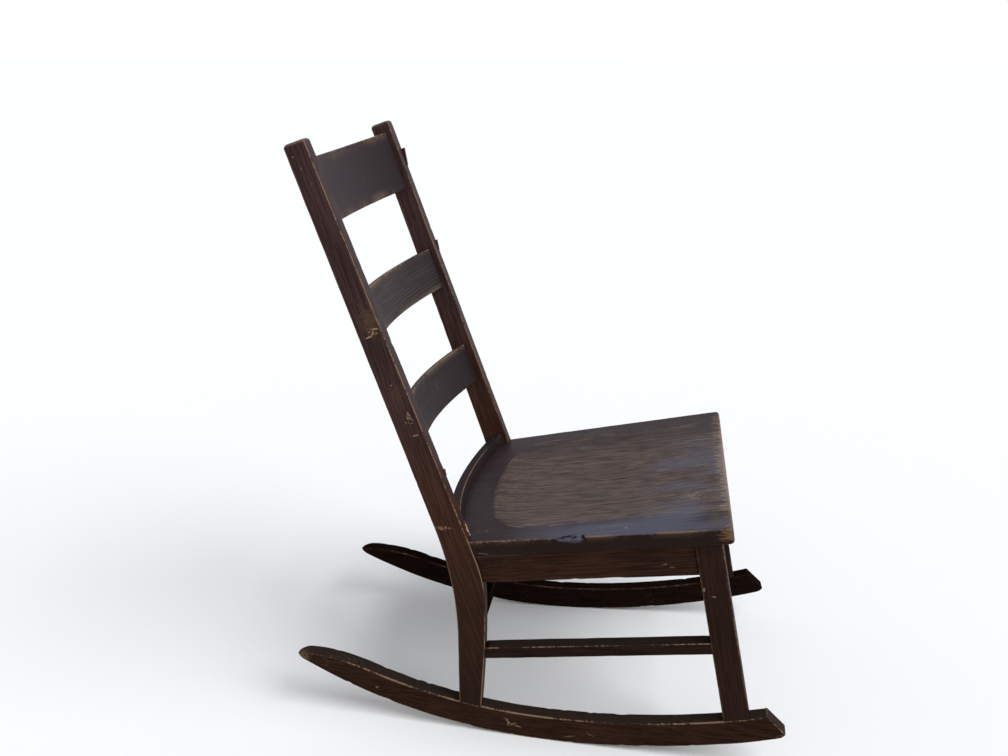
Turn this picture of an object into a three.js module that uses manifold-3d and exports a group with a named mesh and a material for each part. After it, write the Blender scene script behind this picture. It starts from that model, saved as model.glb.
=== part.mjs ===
// Armless ladder-back rocking chair in dark stained oak, with a scooped plank seat.
// Lengths are millimetres. X runs across the chair, Y from its front to its back, Z upwards.
// While the pieces are drawn, Y is zero where the rockers touch the floor.

import * as THREE from 'three';
import { mergeVertices } from 'three/addons/utils/BufferGeometryUtils.js';
import Module from 'manifold-3d';

const wasm = await Module();
wasm.setup();

// Fits and edges
const clearance = 0.3; // gap between two pieces that touch
const overrun = 6; // how far a blank runs past the face that trims it
const easedEdge = 2; // worn radius along the edges of posts, legs, rails and rockers
const curveSteps = 5; // straight steps in each rounded corner

// Rockers: two arcs meet at the resting point, and the sole is drawn as equal flats
const rockerFrontRadius = 1150;
const rockerRearRadius = 820;
const rockerDepth = 40.5;
const rockerThickness = 24;
const rockerRearReach = 383; // from the resting point back to the tail's tip
const rockerFrontReach = 362; // from the resting point forward to the nose, before rounding
const rockerTailLength = 118; // the stretch that thins towards the tail
const rockerNoseCut = 32; // run of the slanted cut at the front
const rockerNoseRounding = 9;
const soleFlatLength = 27; // one of these flats lies on the floor, centred on the resting point
const tailShoulderShare = 0.4; // of the tail length, how far the upper edge runs on straight
const tailTipShare = 0.13; // of the tail length, how far the rounding reaches over the tip
const tailFullnessShare = 0.3; // of the rocker depth, how full the rounding stands over the tip

// Plane of the seat's top, which the legs and posts meet
const seatHeight = 342; // above the resting point
const seatSlope = 0.178; // rise for each millimetre forward

// Front legs, raked forward at the foot
const legDepth = 37.4;
const legRake = 0.207; // forward run for each millimetre down
const legNoseSetback = 56; // from the rocker's nose back to where the leg's axis meets the floor
const legReach = rockerFrontReach - legNoseSetback;

// Rear posts, one sawn piece from the rocker to the top
const postThickness = 22;
const postHalfSpan = 196.3; // outer face from the middle, at floor height
const postSplay = 0.0132; // outward run for each millimetre up
const postLean = 0.358; // backward run for each millimetre up, above the seat
const postSeatSetback = 127; // the leaning axis at the seat, behind the resting point
const postSeatRise = 10.6; // that point on the leaning axis above the seat's plane
const postSeatHeight = seatHeight - seatSlope * postSeatSetback + postSeatRise;
const postSeatDepth = 40.3;
const postTopDepth = 31;
const postBackLength = 582; // along the lean, from the seat to the top
const postShinFront = 80; // front face of the upright part, behind the resting point
const postShinDepth = 41.5;
const postShinLength = 100.42; // front face between the corners of its bends, then it tapers to the foot
const postFootDepth = 33;
const postRearBend = 92; // length of the rear face's bend, either side of its corner
const postFrontBend = 38;
const postTopRounding = 5;
const postShinAxis = postShinFront + postShinDepth / 2;

// Plan of the base: rockers stand flush under the posts and open out forwards with the legs
const sideTaper = 0.0459; // sideways spread for each millimetre forward
const trackHalfWidth = postHalfSpan + sideTaper * postShinAxis; // at the resting point

// Seat, one thick board with an eased edge and a scooped top
const seatThickness = 24;
const seatFrontOverhang = 26.8; // front edge before the legs' axis, at the height of the seat
const seatFrontReach = legReach - legRake * seatHeight + seatFrontOverhang;
const seatSideOverhang = 14.6; // front corners outside the planes of the legs' outer faces
const seatFrontWidth = 2 * (trackHalfWidth + sideTaper * seatFrontReach + seatSideOverhang);
const seatPostInset = 3.3; // sides inside the posts' outer faces
const seatRearWidth = 2 * (postHalfSpan + postSplay * seatHeight - seatPostInset);
const seatCornerRounding = 9;
const seatEasedEdge = 4.5;
const scoopDepth = 8;
const scoopHalfWidth = 168;
const scoopRearReach = 92; // rear rim, behind the resting point
const scoopRearRound = 105; // length over which the rear rim rounds into the sides
const scoopFrontFade = 210; // length over which the scoop fades out towards the front edge
const scoopRimPower = 3; // squareness of the rim's rear corners
const scoopMarginShare = 0.15; // of its half width, how far the cutter spreads past the rim
const scoopEndShare = 0.12; // of its depth, what is left of the scoop at the front edge
const scoopColumns = 20;
const scoopRows = 22;
const seatRearSteps = 12;

// Bent back slats, listed from the top
const slatThickness = 10;
const slatBow = 40; // how far a slat's middle stands behind its ends
const slatEasedEdge = 1.5;
const crestTopMargin = 20;
const crestHeight = 97;
const middleSlatHeight = 69;
const lowerSlatHeight = 69;
const slatGap = 107;
const bendSteps = 9; // straight steps in each bent face and in each post's bends
const tailSteps = 12; // straight steps in the rocker's tail

// Bent rail behind the seat
const backRailThickness = 17;
const backRailBow = 27;
const backRailHeight = 80;
const backRailRise = 8; // its top edge above the post's seat point, along the lean
const backRailForward = 5; // its ends stand this far before the middle of the posts

// Straight rails under the seat
const railThickness = 20;
const railInset = 2.5; // rails stand back this far from the outer faces of legs and posts
const sideRailFrontDrop = 53; // depth below the seat at the front leg
const sideRailRearDrop = 43; // depth below the seat at the post
const frontRailDrop = 50;

// Stretchers
const stretcherWidth = 22;
const stretcherHeight = 18.5;
const stretcherEasedEdge = 1.5;
const sideStretcherLevel = 143.8; // its underside above the resting point
const sideStretcherSlope = 0.151; // rise for each millimetre forward
const crossStretcherLift = 4.5; // underside of a cross stretcher above the side ones' top

// Mortise and tenon joints
const tenonLength = 16;
const railTenonThickness = 9;
const railTenonTopShoulder = 18; // keeps the tenon clear of the corner screw
const railTenonLowShoulder = 6;
const stretcherTenonWidth = 9;
const stretcherTenonHeight = 10;
const slatTenonThickness = 6;
const slatTenonLength = 13;
const slatShoulder = 6; // a slat's tenon is this much lower than the slat at each edge
const backRailTenonHeight = 42;
const footTenonThickness = 11;
const footTenonWidth = 20;
const footTenonLength = 20;

// Corner blocks and screws
const blockSide = 50; // length of a block along each rail
const blockHeight = 22;
const screwShankRadius = 2.2;
const screwHeadRadius = 4.2;
const screwHeadHeight = 3.2;
const screwSlotWidth = 1;
const screwSlotDepth = 1.2;
const screwTipLength = 5;
const screwSides = 12;
const rockerScrewLength = 42;
const rockerScrewSink = 5; // head above the sole
const blockScrewLength = 50;
const blockScrewAim = 4; // from the corner along the side rail, where it enters its leg or post
const seatScrewLength = 32;
const blockScrewSink = 1.5; // head below the face of its block
const seatScrewAlongShare = 0.6; // of a block's side, place of the seat screw
const seatScrewInShare = 0.2;

// Finishes
const warmOak = { color: 0x38231a, roughness: 0.55 };
const coolOak = { color: 0x423a3e, roughness: 0.5 };
const wornOak = { color: 0x4a403d, roughness: 0.5 };
const hiddenOak = { color: 0x6b4a31, roughness: 0.75 };
const screwSteel = { color: 0x77736d, roughness: 0.45, metalness: 0.9 };

// Directions, and a drawing plane for side views: x of a drawing is Y, y is Z and depth is X
const sideways = new THREE.Vector3(1, 0, 0);
const backwards = new THREE.Vector3(0, 1, 0);
const upwards = new THREE.Vector3(0, 0, 1);
const sideView = new THREE.Matrix4().makeBasis(backwards, upwards, sideways);
const sides = { left: 1, right: -1 };

// Solids from three.js geometries
function solidFrom(geometry, frame = new THREE.Matrix4()) {
  const bare = geometry.clone();
  bare.deleteAttribute('normal');
  bare.deleteAttribute('uv');
  bare.applyMatrix4(frame);
  const merged = mergeVertices(bare, clearance / 100);
  const corners = merged.index.array;
  const kept = [];
  for (let i = 0; i < corners.length; i += 3) {
    const [a, b, c] = corners.slice(i, i + 3);
    if (a !== b && b !== c && c !== a) kept.push(a, b, c);
  }
  const vertProperties = new Float32Array(merged.attributes.position.array);
  return new wasm.Manifold(new wasm.Mesh({ numProp: 3, vertProperties, triVerts: new Uint32Array(kept) }));
}

const carve = (blank, cutters) => cutters.reduce((rest, cutter) => rest.subtract(cutter), blank);
const join = (first, others) => others.reduce((whole, other) => whole.add(other), first);

// A closed outline of corners [x, y, rounding], or [x, y, rounding before, rounding after]
function roundedOutline(corners) {
  const places = corners.map(([x, y]) => new THREE.Vector2(x, y));
  const shape = new THREE.Shape();
  corners.forEach(([, , before = 0, after = before], index) => {
    const corner = places[index];
    const last = places.at(index - 1);
    const next = places[(index + 1) % places.length];
    const entry = last.clone().sub(corner).setLength(before).add(corner);
    const exit = next.clone().sub(corner).setLength(after).add(corner);
    if (index === 0) shape.moveTo(entry.x, entry.y);
    else shape.lineTo(entry.x, entry.y);
    if (before > 0) shape.quadraticCurveTo(corner.x, corner.y, exit.x, exit.y);
  });
  shape.closePath();
  return shape;
}

// A board sawn to an outline, with eased edges, centred on its drawing plane.
// A grown board is larger by that much all round, to cut the room for the real one.
function board(outline, thickness, frame, { ease = easedEdge, grow = 0, steps = curveSteps } = {}) {
  const geometry = new THREE.ExtrudeGeometry(outline, {
    depth: thickness + 2 * (grow - ease),
    bevelThickness: ease,
    bevelSize: ease,
    bevelOffset: grow - ease,
    bevelSegments: 2,
    curveSegments: steps,
  });
  geometry.translate(0, 0, ease - grow - thickness / 2);
  return solidFrom(geometry, frame);
}

// A straight bar: its height stands along up and its width lies square to both
function bar({ from, to, width, height, up = upwards, ease = 0 }, grow = 0) {
  const run = to.clone().sub(from);
  const along = run.clone().normalize();
  const level = up.clone().cross(along).normalize();
  const standing = along.clone().cross(level);
  const halfWidth = width / 2 + grow;
  const halfHeight = height / 2 + grow;
  const section = roundedOutline([
    [-halfWidth, -halfHeight, ease],
    [halfWidth, -halfHeight, ease],
    [halfWidth, halfHeight, ease],
    [-halfWidth, halfHeight, ease],
  ]);
  const geometry = new THREE.ExtrudeGeometry(section, {
    depth: run.length() + 2 * grow,
    bevelEnabled: false,
    curveSegments: 2,
  });
  geometry.translate(0, 0, -grow);
  return solidFrom(geometry, new THREE.Matrix4().makeBasis(level, standing, along).setPosition(from));
}

// Frames of the two sides: rockers and front legs share one plane, each post has its own
const sideAngle = Math.atan(sideTaper);
const splayAngle = Math.atan(postSplay);

function baseFrame(side) {
  const centre = trackHalfWidth - rockerThickness / 2 / Math.cos(sideAngle);
  const turn = new THREE.Matrix4().makeRotationZ(side * sideAngle);
  return new THREE.Matrix4().makeTranslation(side * centre, 0, 0).multiply(turn).multiply(sideView);
}

function postFrame(side) {
  const centre = postHalfSpan - postThickness / 2 / Math.cos(splayAngle);
  const turn = new THREE.Matrix4().makeRotationY(side * splayAngle);
  return new THREE.Matrix4().makeTranslation(side * centre, 0, 0).multiply(turn).multiply(sideView);
}

const inBase = (side, y, z) => new THREE.Vector3(y, z, 0).applyMatrix4(baseFrame(side));
const inPost = (side, y, z) => new THREE.Vector3(y, z, 0).applyMatrix4(postFrame(side));
const postInnerAt = (z) => postHalfSpan + postSplay * z - postThickness / Math.cos(splayAngle);

// Frame of the seat: x across, y backwards down the slope and z out of the top face
const seatAngle = Math.atan(seatSlope);
const seatBackwards = new THREE.Vector3(0, Math.cos(seatAngle), -Math.sin(seatAngle));
const seatNormal = sideways.clone().cross(seatBackwards);

function seatFrame(level = 0) {
  const origin = upwards.clone().multiplyScalar(seatHeight).addScaledVector(seatNormal, level);
  return new THREE.Matrix4().makeBasis(sideways, seatBackwards, seatNormal).setPosition(origin);
}

// Frame of the back: x across, y backwards square to the lean and z up along the posts
const leanAngle = Math.atan(postLean);
const leanBackwards = new THREE.Vector3(0, Math.cos(leanAngle), -Math.sin(leanAngle));
const leanUpwards = sideways.clone().cross(leanBackwards);

function backFrame(level = 0) {
  const origin = new THREE.Vector3(0, postSeatSetback, postSeatHeight).addScaledVector(leanUpwards, level);
  return new THREE.Matrix4().makeBasis(sideways, leanBackwards, leanUpwards).setPosition(origin);
}

const inBack = (x, y, level) => new THREE.Vector3(x, y, 0).applyMatrix4(backFrame(level));

// Heights and places in the side view that several pieces share
const seatUnderAt = (y) => seatHeight - seatSlope * y - seatThickness / Math.cos(seatAngle);
const arcRadiusAt = (y) => (y < 0 ? rockerFrontRadius : rockerRearRadius);
const rockerSoleAt = (y) => arcRadiusAt(y) - Math.sqrt(arcRadiusAt(y) ** 2 - y ** 2);
const rockerTopAt = (y) => rockerSoleAt(y) + rockerDepth;
const legAxisAt = (z) => legRake * z - legReach;
const legHalfRun = legDepth / 2 / Math.cos(Math.atan(legRake));

// Where the leg's axis crosses a line that has this height at the resting point and this rise forward
const legCrossing = (height, rise) => (legRake * height - legReach) / (1 + legRake * rise);
const legHead = legCrossing(seatUnderAt(0), seatSlope);
const legFoot = legAxisAt(rockerTopAt(-legReach));
const postShinRear = postShinFront + postShinDepth;
const postFootAxis = postShinRear - postFootDepth / 2;

// Corners of the sole from the resting point out to a reach, each flat touching its arc
function soleCorners(direction, reach) {
  const radius = arcRadiusAt(direction);
  const step = soleFlatLength / radius;
  const outer = radius / Math.cos(step / 2);
  const at = (angle) => [direction * outer * Math.sin(angle), radius - outer * Math.cos(angle)];
  const end = Math.asin(reach / outer);
  const corners = [];
  for (let angle = step / 2; angle < end; angle += step) corners.push(at(angle));
  return [...corners, at(end)];
}

// Rocker
function rockerOutline() {
  const topPoint = (y) => [y, rockerTopAt(y)];
  const nose = soleCorners(-1, rockerFrontReach).at(-1);
  const noseTop = topPoint(rockerNoseCut - rockerFrontReach);
  const tailStart = topPoint(rockerRearReach - rockerTailLength);
  const tailAngle = Math.asin(tailStart[0] / rockerRearRadius);
  const shoulder = tailShoulderShare * rockerTailLength;
  const slant = new THREE.Vector2(...noseTop).sub(new THREE.Vector2(...nose)).setLength(rockerNoseRounding);
  const frontSole = soleCorners(-1, rockerFrontReach - rockerNoseRounding).reverse();
  const rearSole = soleCorners(1, rockerRearReach);
  const tip = rearSole.at(-1);

  const shape = new THREE.Shape();
  shape.moveTo(...frontSole[0]);
  [...frontSole.slice(1), ...rearSole].forEach((corner) => shape.lineTo(...corner));
  shape.bezierCurveTo(
    tip[0] - tailTipShare * rockerTailLength,
    tip[1] + tailFullnessShare * rockerDepth,
    tailStart[0] + shoulder * Math.cos(tailAngle),
    tailStart[1] + shoulder * Math.sin(tailAngle),
    ...tailStart,
  );
  for (let y = tailStart[0] - soleFlatLength; y > noseTop[0]; y -= soleFlatLength) {
    shape.lineTo(...topPoint(y));
  }
  shape.lineTo(...noseTop);
  shape.lineTo(nose[0] + slant.x, nose[1] + slant.y);
  shape.quadraticCurveTo(...nose, ...frontSole[0]);
  return shape;
}

const rockerBlank = (side) => board(rockerOutline(), rockerThickness, baseFrame(side), { steps: tailSteps });

// The room that a rocker takes from whatever stands on it, wider than any leg
const rockerRoom = (side) =>
  board(rockerOutline(), 3 * rockerThickness, baseFrame(side), { grow: clearance, steps: tailSteps });

// Front leg
function legOutline() {
  const foot = rockerTopAt(legFoot) - rockerDepth / 2;
  const head = seatUnderAt(legHead) + seatThickness;
  return roundedOutline([
    [legAxisAt(foot) - legHalfRun, foot],
    [legAxisAt(foot) + legHalfRun, foot],
    [legAxisAt(head) + legHalfRun, head],
    [legAxisAt(head) - legHalfRun, head],
  ]);
}

const legBlank = (side, grow = 0) => board(legOutline(), rockerThickness, baseFrame(side), { grow });
const legRoom = (side) => board(legOutline(), 3 * rockerThickness, baseFrame(side), { grow: clearance });

// Rear post: its leaning faces taper from the seat to the top
function leaningFace(rearward, level) {
  const taper = (postSeatDepth - postTopDepth) / postBackLength;
  const face = inBack(0, (rearward * (postSeatDepth - taper * level)) / 2, level);
  return [face.y, face.z];
}

// Where a leaning face, carried on down, meets an upright line
function leaningFaceCorner(rearward, y) {
  const [lowY, lowZ] = leaningFace(rearward, 0);
  const [highY, highZ] = leaningFace(rearward, postBackLength);
  return [y, lowZ + ((y - lowY) * (highZ - lowZ)) / (highY - lowY)];
}

function postOutline() {
  const foot = rockerTopAt(postShinRear) - rockerDepth / 2;
  const frontBend = leaningFaceCorner(-1, postShinFront);
  return roundedOutline([
    [postShinRear - postFootDepth, foot],
    [postShinRear, foot],
    [...leaningFaceCorner(1, postShinRear), postRearBend],
    [...leaningFace(1, postBackLength), postTopRounding],
    [...leaningFace(-1, postBackLength), postTopRounding],
    [...frontBend, postFrontBend],
    [postShinFront, frontBend[1] - postShinLength, postFrontBend],
  ]);
}

const postBlank = (side, grow = 0) =>
  board(postOutline(), postThickness, postFrame(side), { grow, steps: bendSteps });
const postRoom = (side) =>
  board(postOutline(), 3 * postThickness, postFrame(side), { grow: clearance, steps: bendSteps });

// The room outward from the inner face of a leg or a post
function outwardRoom(frame, side, thickness) {
  const reach = 2 * (postBackLength + postSeatHeight);
  const room = new THREE.BoxGeometry(reach, reach, seatFrontWidth);
  room.translate(0, 0, side * (seatFrontWidth / 2 - thickness / 2 - clearance));
  return solidFrom(room, frame);
}

const bothSides = Object.values(sides);
const besideLegs = () => bothSides.map((side) => outwardRoom(baseFrame(side), side, rockerThickness));
const besidePosts = () => bothSides.map((side) => outwardRoom(postFrame(side), side, postThickness));

// The room above the seat's underside
function seatRoom() {
  const reach = 2 * seatFrontWidth;
  const room = new THREE.BoxGeometry(reach, reach, reach);
  room.translate(0, 0, reach / 2);
  return solidFrom(room, seatFrame(-seatThickness - clearance));
}

// Bent pieces of the back: arcs in plan that bow backwards between the posts
function bentArc({ level, bow, forward }) {
  const halfSpan = postInnerAt(inBack(0, 0, level).z);
  const radius = (halfSpan ** 2 + bow ** 2) / (2 * bow);
  return { halfSpan, radius, centre: bow - radius - forward };
}

function bentBlank(piece, grow = 0) {
  const { halfSpan, radius, centre } = bentArc(piece);
  const half = Math.asin((halfSpan + overrun) / radius);
  const middle = Math.PI / 2;
  const outline = new THREE.Shape();
  outline.absarc(0, centre, radius + piece.thickness / 2, middle + half, middle - half, true);
  outline.absarc(0, centre, radius - piece.thickness / 2, middle - half, middle + half, false);
  outline.closePath();
  const settings = { ease: slatEasedEdge, grow, steps: bendSteps };
  return board(outline, piece.height, backFrame(piece.level), settings);
}

// A tenon that runs sideways out of a bent piece into a post
function bentTenon(side, { tenonLevel, tenonHeight, tenonThickness, forward }) {
  const inner = postInnerAt(inBack(0, 0, tenonLevel).z);
  return {
    from: inBack(side * (inner - slatShoulder / 2), -forward, tenonLevel),
    to: inBack(side * (inner + slatTenonLength), -forward, tenonLevel),
    width: tenonThickness,
    height: tenonHeight,
    up: leanUpwards,
  };
}

function slatAt(top, height) {
  const level = top - height / 2;
  return {
    level,
    height,
    thickness: slatThickness,
    bow: slatBow,
    forward: 0,
    tenonLevel: level,
    tenonHeight: height - 2 * slatShoulder,
    tenonThickness: slatTenonThickness,
  };
}

const crestTop = postBackLength - crestTopMargin;
const middleTop = crestTop - crestHeight - slatGap;
const lowerTop = middleTop - middleSlatHeight - slatGap;
const bentPieces = {
  crest_slat: slatAt(crestTop, crestHeight),
  middle_slat: slatAt(middleTop, middleSlatHeight),
  lower_slat: slatAt(lowerTop, lowerSlatHeight),
  back_rail: {
    level: backRailRise - backRailHeight / 2,
    height: backRailHeight,
    thickness: backRailThickness,
    bow: backRailBow,
    forward: backRailForward,
    tenonLevel: backRailRise - slatShoulder - backRailTenonHeight / 2,
    tenonHeight: backRailTenonHeight,
    tenonThickness: railTenonThickness,
  },
};

// Side rail: it runs from the middle of the leg to the middle of the post and both trim it
function sideRail(side) {
  const front = inBase(side, legHead, seatUnderAt(legHead));
  const rear = inPost(side, postShinAxis, seatUnderAt(postShinAxis));
  const inward = (thickness) => side * (railInset + (railThickness - thickness) / 2);
  const start = new THREE.Vector3(front.x - inward(rockerThickness), front.y, 0);
  const end = new THREE.Vector3(rear.x - inward(postThickness), rear.y, 0);
  const along = end.clone().sub(start).normalize();
  const outwards = along.clone().cross(upwards);
  const frame = new THREE.Matrix4().makeBasis(along, upwards, outwards).setPosition(start);
  const length = end.distanceTo(start);
  const outline = roundedOutline([
    [0, seatUnderAt(start.y) - sideRailFrontDrop],
    [length, seatUnderAt(end.y) - sideRailRearDrop],
    [length, seatUnderAt(end.y) + overrun],
    [0, seatUnderAt(start.y) + overrun],
  ]);
  const pointAt = (y, z) => start.clone().lerp(end, (y - start.y) / (end.y - start.y)).setZ(z);
  return { pointAt, blank: (grow = 0) => board(outline, railThickness, frame, { grow }) };
}

const sideRailInnerAt = (side, y) => Math.abs(sideRail(side).pointAt(y, 0).x) - railThickness / 2;

// How deep inside the leg and the post the ends of a side piece lie, at height z
const tenonFront = (z) => legAxisAt(z) + legHalfRun - tenonLength;
const tenonRear = postShinFront + tenonLength;

function sideRailTenon(side) {
  const { pointAt } = sideRail(side);
  const height = sideRailRearDrop - railTenonTopShoulder - railTenonLowShoulder;
  const centreAt = (y) => seatUnderAt(y) - railTenonTopShoulder - height / 2;
  const front = tenonFront(centreAt(legHead));
  return {
    from: pointAt(front, centreAt(front)),
    to: pointAt(tenonRear, centreAt(tenonRear)),
    width: railTenonThickness,
    height,
  };
}

// Front rail: raked like the legs, a little behind their front faces
const rakeUpwards = new THREE.Vector3(0, legRake, 1).normalize();
const frontRailLow = seatUnderAt(legHead) - frontRailDrop;
const frontRailHigh = frontRailLow + frontRailDrop + overrun;
const frontRailAxisAt = (z) => legAxisAt(z) - legHalfRun + railInset + railThickness / 2;

function frontRail() {
  const z = (frontRailLow + frontRailHigh) / 2;
  const at = (x) => new THREE.Vector3(x, frontRailAxisAt(z), z);
  const height = frontRailHigh - frontRailLow;
  const size = { width: railThickness, height, up: rakeUpwards, ease: easedEdge };
  return { from: at(-trackHalfWidth), to: at(trackHalfWidth), ...size };
}

function frontRailTenon(side) {
  const height = frontRailDrop - railTenonTopShoulder - railTenonLowShoulder;
  const z = frontRailLow + railTenonLowShoulder + height / 2;
  const inner = inBase(side, frontRailAxisAt(z), z).x - (side * rockerThickness) / 2;
  const at = (x) => new THREE.Vector3(x, frontRailAxisAt(z), z);
  const size = { width: railTenonThickness, height, up: rakeUpwards };
  return { from: at(inner - side * overrun), to: at(inner + side * tenonLength), ...size };
}

// Stretchers
const sideStretcherAxisAt = (y) => sideStretcherLevel + stretcherHeight / 2 - sideStretcherSlope * y;

function sideStretcher(side) {
  const front = legCrossing(sideStretcherAxisAt(0), sideStretcherSlope);
  const from = inBase(side, front, sideStretcherAxisAt(front));
  const to = inPost(side, postShinAxis, sideStretcherAxisAt(postShinAxis));
  const whole = { from, to, width: stretcherWidth, height: stretcherHeight, ease: stretcherEasedEdge };
  const shareAt = (y) => (y - from.y) / (to.y - from.y);
  const tenon = {
    from: from.clone().lerp(to, shareAt(tenonFront(from.z))),
    to: from.clone().lerp(to, shareAt(tenonRear)),
    width: stretcherTenonWidth,
    height: stretcherTenonHeight,
  };
  return { whole, tenon };
}

// A cross stretcher stands just above the side ones, so that the mortises miss each other
function crossStretcher(pointOn, y, thickness) {
  const z = sideStretcherAxisAt(y) + stretcherHeight + crossStretcherLift;
  const middle = pointOn(sides.left, y, z);
  const half = middle.x;
  const inner = half - thickness / 2;
  const span = (reach) => ({ from: new THREE.Vector3(-reach, y, z), to: new THREE.Vector3(reach, y, z) });
  const section = { width: stretcherHeight, height: stretcherHeight, ease: stretcherEasedEdge };
  const tenonSection = { width: stretcherTenonWidth, height: stretcherTenonHeight };
  return {
    whole: { ...span(half), ...section },
    tenon: { ...span(inner + slatTenonLength), ...tenonSection },
  };
}

const frontStretcherPlace = legCrossing(sideStretcherAxisAt(0) + stretcherHeight, sideStretcherSlope);
const crossStretchers = {
  front_stretcher: crossStretcher(inBase, frontStretcherPlace, rockerThickness),
  rear_stretcher: crossStretcher(inPost, postShinAxis, postThickness),
};

// Feet: a tenon under each leg and post, let into the rocker
function legFootTenon(side) {
  const top = rockerTopAt(legFoot);
  const at = (z) => inBase(side, legAxisAt(z), z);
  const size = { width: footTenonWidth, height: footTenonThickness, up: sideways };
  return { from: at(top + overrun), to: at(top - footTenonLength), ...size };
}

function postFootTenon(side) {
  const top = rockerTopAt(postFootAxis);
  const at = (z) => inPost(side, postFootAxis, z);
  const size = { width: footTenonWidth, height: footTenonThickness, up: sideways };
  return { from: at(top + overrun), to: at(top - footTenonLength), ...size };
}

// Countersunk screws, drawn with the head at the start and the shank along z
function screwProfile(length, sink, grow) {
  const head = screwHeadRadius + grow;
  const shank = screwShankRadius + grow;
  return [
    [0, -sink],
    [head, -sink],
    [head, 0],
    [shank, screwHeadHeight + grow],
    [shank, length - screwTipLength + grow],
    [0, length + grow],
  ].map(([x, y]) => new THREE.Vector2(x, y));
}

function lathed(points, { start, direction }) {
  const standing = new THREE.LatheGeometry(points, screwSides);
  standing.rotateX(Math.PI / 2);
  const turn = new THREE.Quaternion().setFromUnitVectors(upwards, direction);
  const geometry = solidFrom(standing, new THREE.Matrix4().compose(start, turn, new THREE.Vector3(1, 1, 1)));
  return geometry;
}

function screwSolid(screw) {
  const body = lathed(screwProfile(screw.length, 0, 0), screw);
  const slot = new THREE.BoxGeometry(2 * screwHeadRadius + overrun, screwSlotWidth, 2 * screwSlotDepth);
  const turn = new THREE.Quaternion().setFromUnitVectors(upwards, screw.direction);
  const frame = new THREE.Matrix4().compose(screw.start, turn, new THREE.Vector3(1, 1, 1));
  return body.subtract(solidFrom(slot, frame));
}

const screwRoom = (screw) => lathed(screwProfile(screw.length, screw.sink + overrun, clearance), screw);

// A screw up through the rocker into the foot of a leg or a post
function footScrew({ from, to }, sole) {
  const direction = from.clone().sub(to).normalize();
  const start = to.clone().addScaledVector(direction, (sole + rockerScrewSink - to.z) / direction.z);
  return { start, direction, length: rockerScrewLength, sink: rockerScrewSink };
}

// Corner blocks: triangles in plan that fill the corners of the frame under the seat
const alongSeat = (y) => y / Math.cos(seatAngle);
const blockLevel = -seatThickness - clearance - blockHeight / 2;

// How far back along the seat a straight line lies, where it crosses a level of the seat's frame
function seatCrossing(level, first, second) {
  const toSeat = seatFrame().invert();
  const from = first.applyMatrix4(toSeat);
  const to = second.applyMatrix4(toSeat);
  return from.y + ((level - from.z) * (to.y - from.y)) / (to.z - from.z);
}

// The same for the back rail at x across: its middle, or a face that stands off the middle
function backRailCrossing(x, level, standOff = 0) {
  const { halfSpan, radius, centre } = bentArc(bentPieces.back_rail);
  const reach = Math.min(Math.abs(x), halfSpan);
  const back = centre + Math.sqrt(radius ** 2 - reach ** 2) + standOff;
  return seatCrossing(level, inBack(0, back, 0), inBack(0, back, postSeatDepth));
}

function cornerBlock(side, rearward) {
  const railRear = (z) => new THREE.Vector3(0, frontRailAxisAt(z) + railThickness / 2, z);
  const frontFace = seatCrossing(blockLevel, railRear(frontRailLow), railRear(frontRailHigh));
  const nearY = rearward ? alongSeat(postShinFront) : frontFace;
  const inner = sideRailInnerAt(side, nearY);
  const faceAt = (x) => (rearward ? backRailCrossing(x, blockLevel, -backRailThickness / 2) : frontFace);
  const sunk = railThickness / 3;
  const toward = rearward ? -1 : 1;
  const corner = faceAt(inner);
  const points = [
    [inner + sunk, corner - toward * sunk],
    [inner + sunk, corner + toward * blockSide],
    [inner, corner + toward * blockSide],
    [inner - blockSide, faceAt(inner - blockSide)],
    [inner - blockSide, faceAt(inner - blockSide) - toward * sunk],
  ];
  const ordered = side * toward > 0 ? points : [...points].reverse();
  const outline = roundedOutline(ordered.map(([x, y]) => [side * x, y]));
  const blank = board(outline, blockHeight, seatFrame(blockLevel), { ease: slatEasedEdge });
  const place = (x, y, level) => new THREE.Vector3(side * x, y, level).applyMatrix4(seatFrame());

  // The corner screw runs at half a right angle to the side rail, in from the block's long face
  const entry = new THREE.Vector2(inner, corner + toward * blockScrewAim);
  const inwards = new THREE.Vector2(-1, toward).normalize();
  const long = [new THREE.Vector2(...points[2]), new THREE.Vector2(...points[3])];
  const across = long[1].clone().sub(long[0]);
  const share = entry.clone().sub(long[0]).cross(inwards) / across.cross(inwards);
  const head = long[0].lerp(long[1], share).addScaledVector(inwards, -blockScrewSink);
  const start = place(head.x, head.y, blockLevel);
  const direction = place(entry.x, entry.y, blockLevel).sub(start).normalize();

  const underside = blockLevel - blockHeight / 2;
  const seatScrewX = inner - seatScrewAlongShare * blockSide;
  const seatScrewY = faceAt(seatScrewX) + toward * seatScrewInShare * blockSide;
  return {
    blank,
    cornerScrew: { start, direction, length: blockScrewLength, sink: blockScrewSink },
    seatScrew: {
      start: place(seatScrewX, seatScrewY, underside + blockScrewSink),
      direction: seatNormal,
      length: seatScrewLength,
      sink: blockScrewSink,
    },
  };
}

// Seat: its rear edge is drawn along the middle of the back rail, which then trims it
function seatOutline() {
  const { halfSpan } = bentArc(bentPieces.back_rail);
  const rear = [];
  for (let step = 0; step <= seatRearSteps; step += 1) {
    const x = halfSpan * (1 - (2 * step) / seatRearSteps);
    rear.push([x, backRailCrossing(x, -seatThickness / 2)]);
  }
  const front = alongSeat(-seatFrontReach);
  const atPosts = alongSeat(postSeatSetback);
  const spread = (seatFrontWidth - seatRearWidth) / 2 / (atPosts - front);
  const rearY = rear[0][1];
  const rearHalf = seatFrontWidth / 2 - spread * (rearY - front);
  return roundedOutline([
    [-seatFrontWidth / 2, front, seatCornerRounding],
    [seatFrontWidth / 2, front, seatCornerRounding],
    [rearHalf, rearY],
    ...rear,
    [-rearHalf, rearY],
  ]);
}

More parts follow.
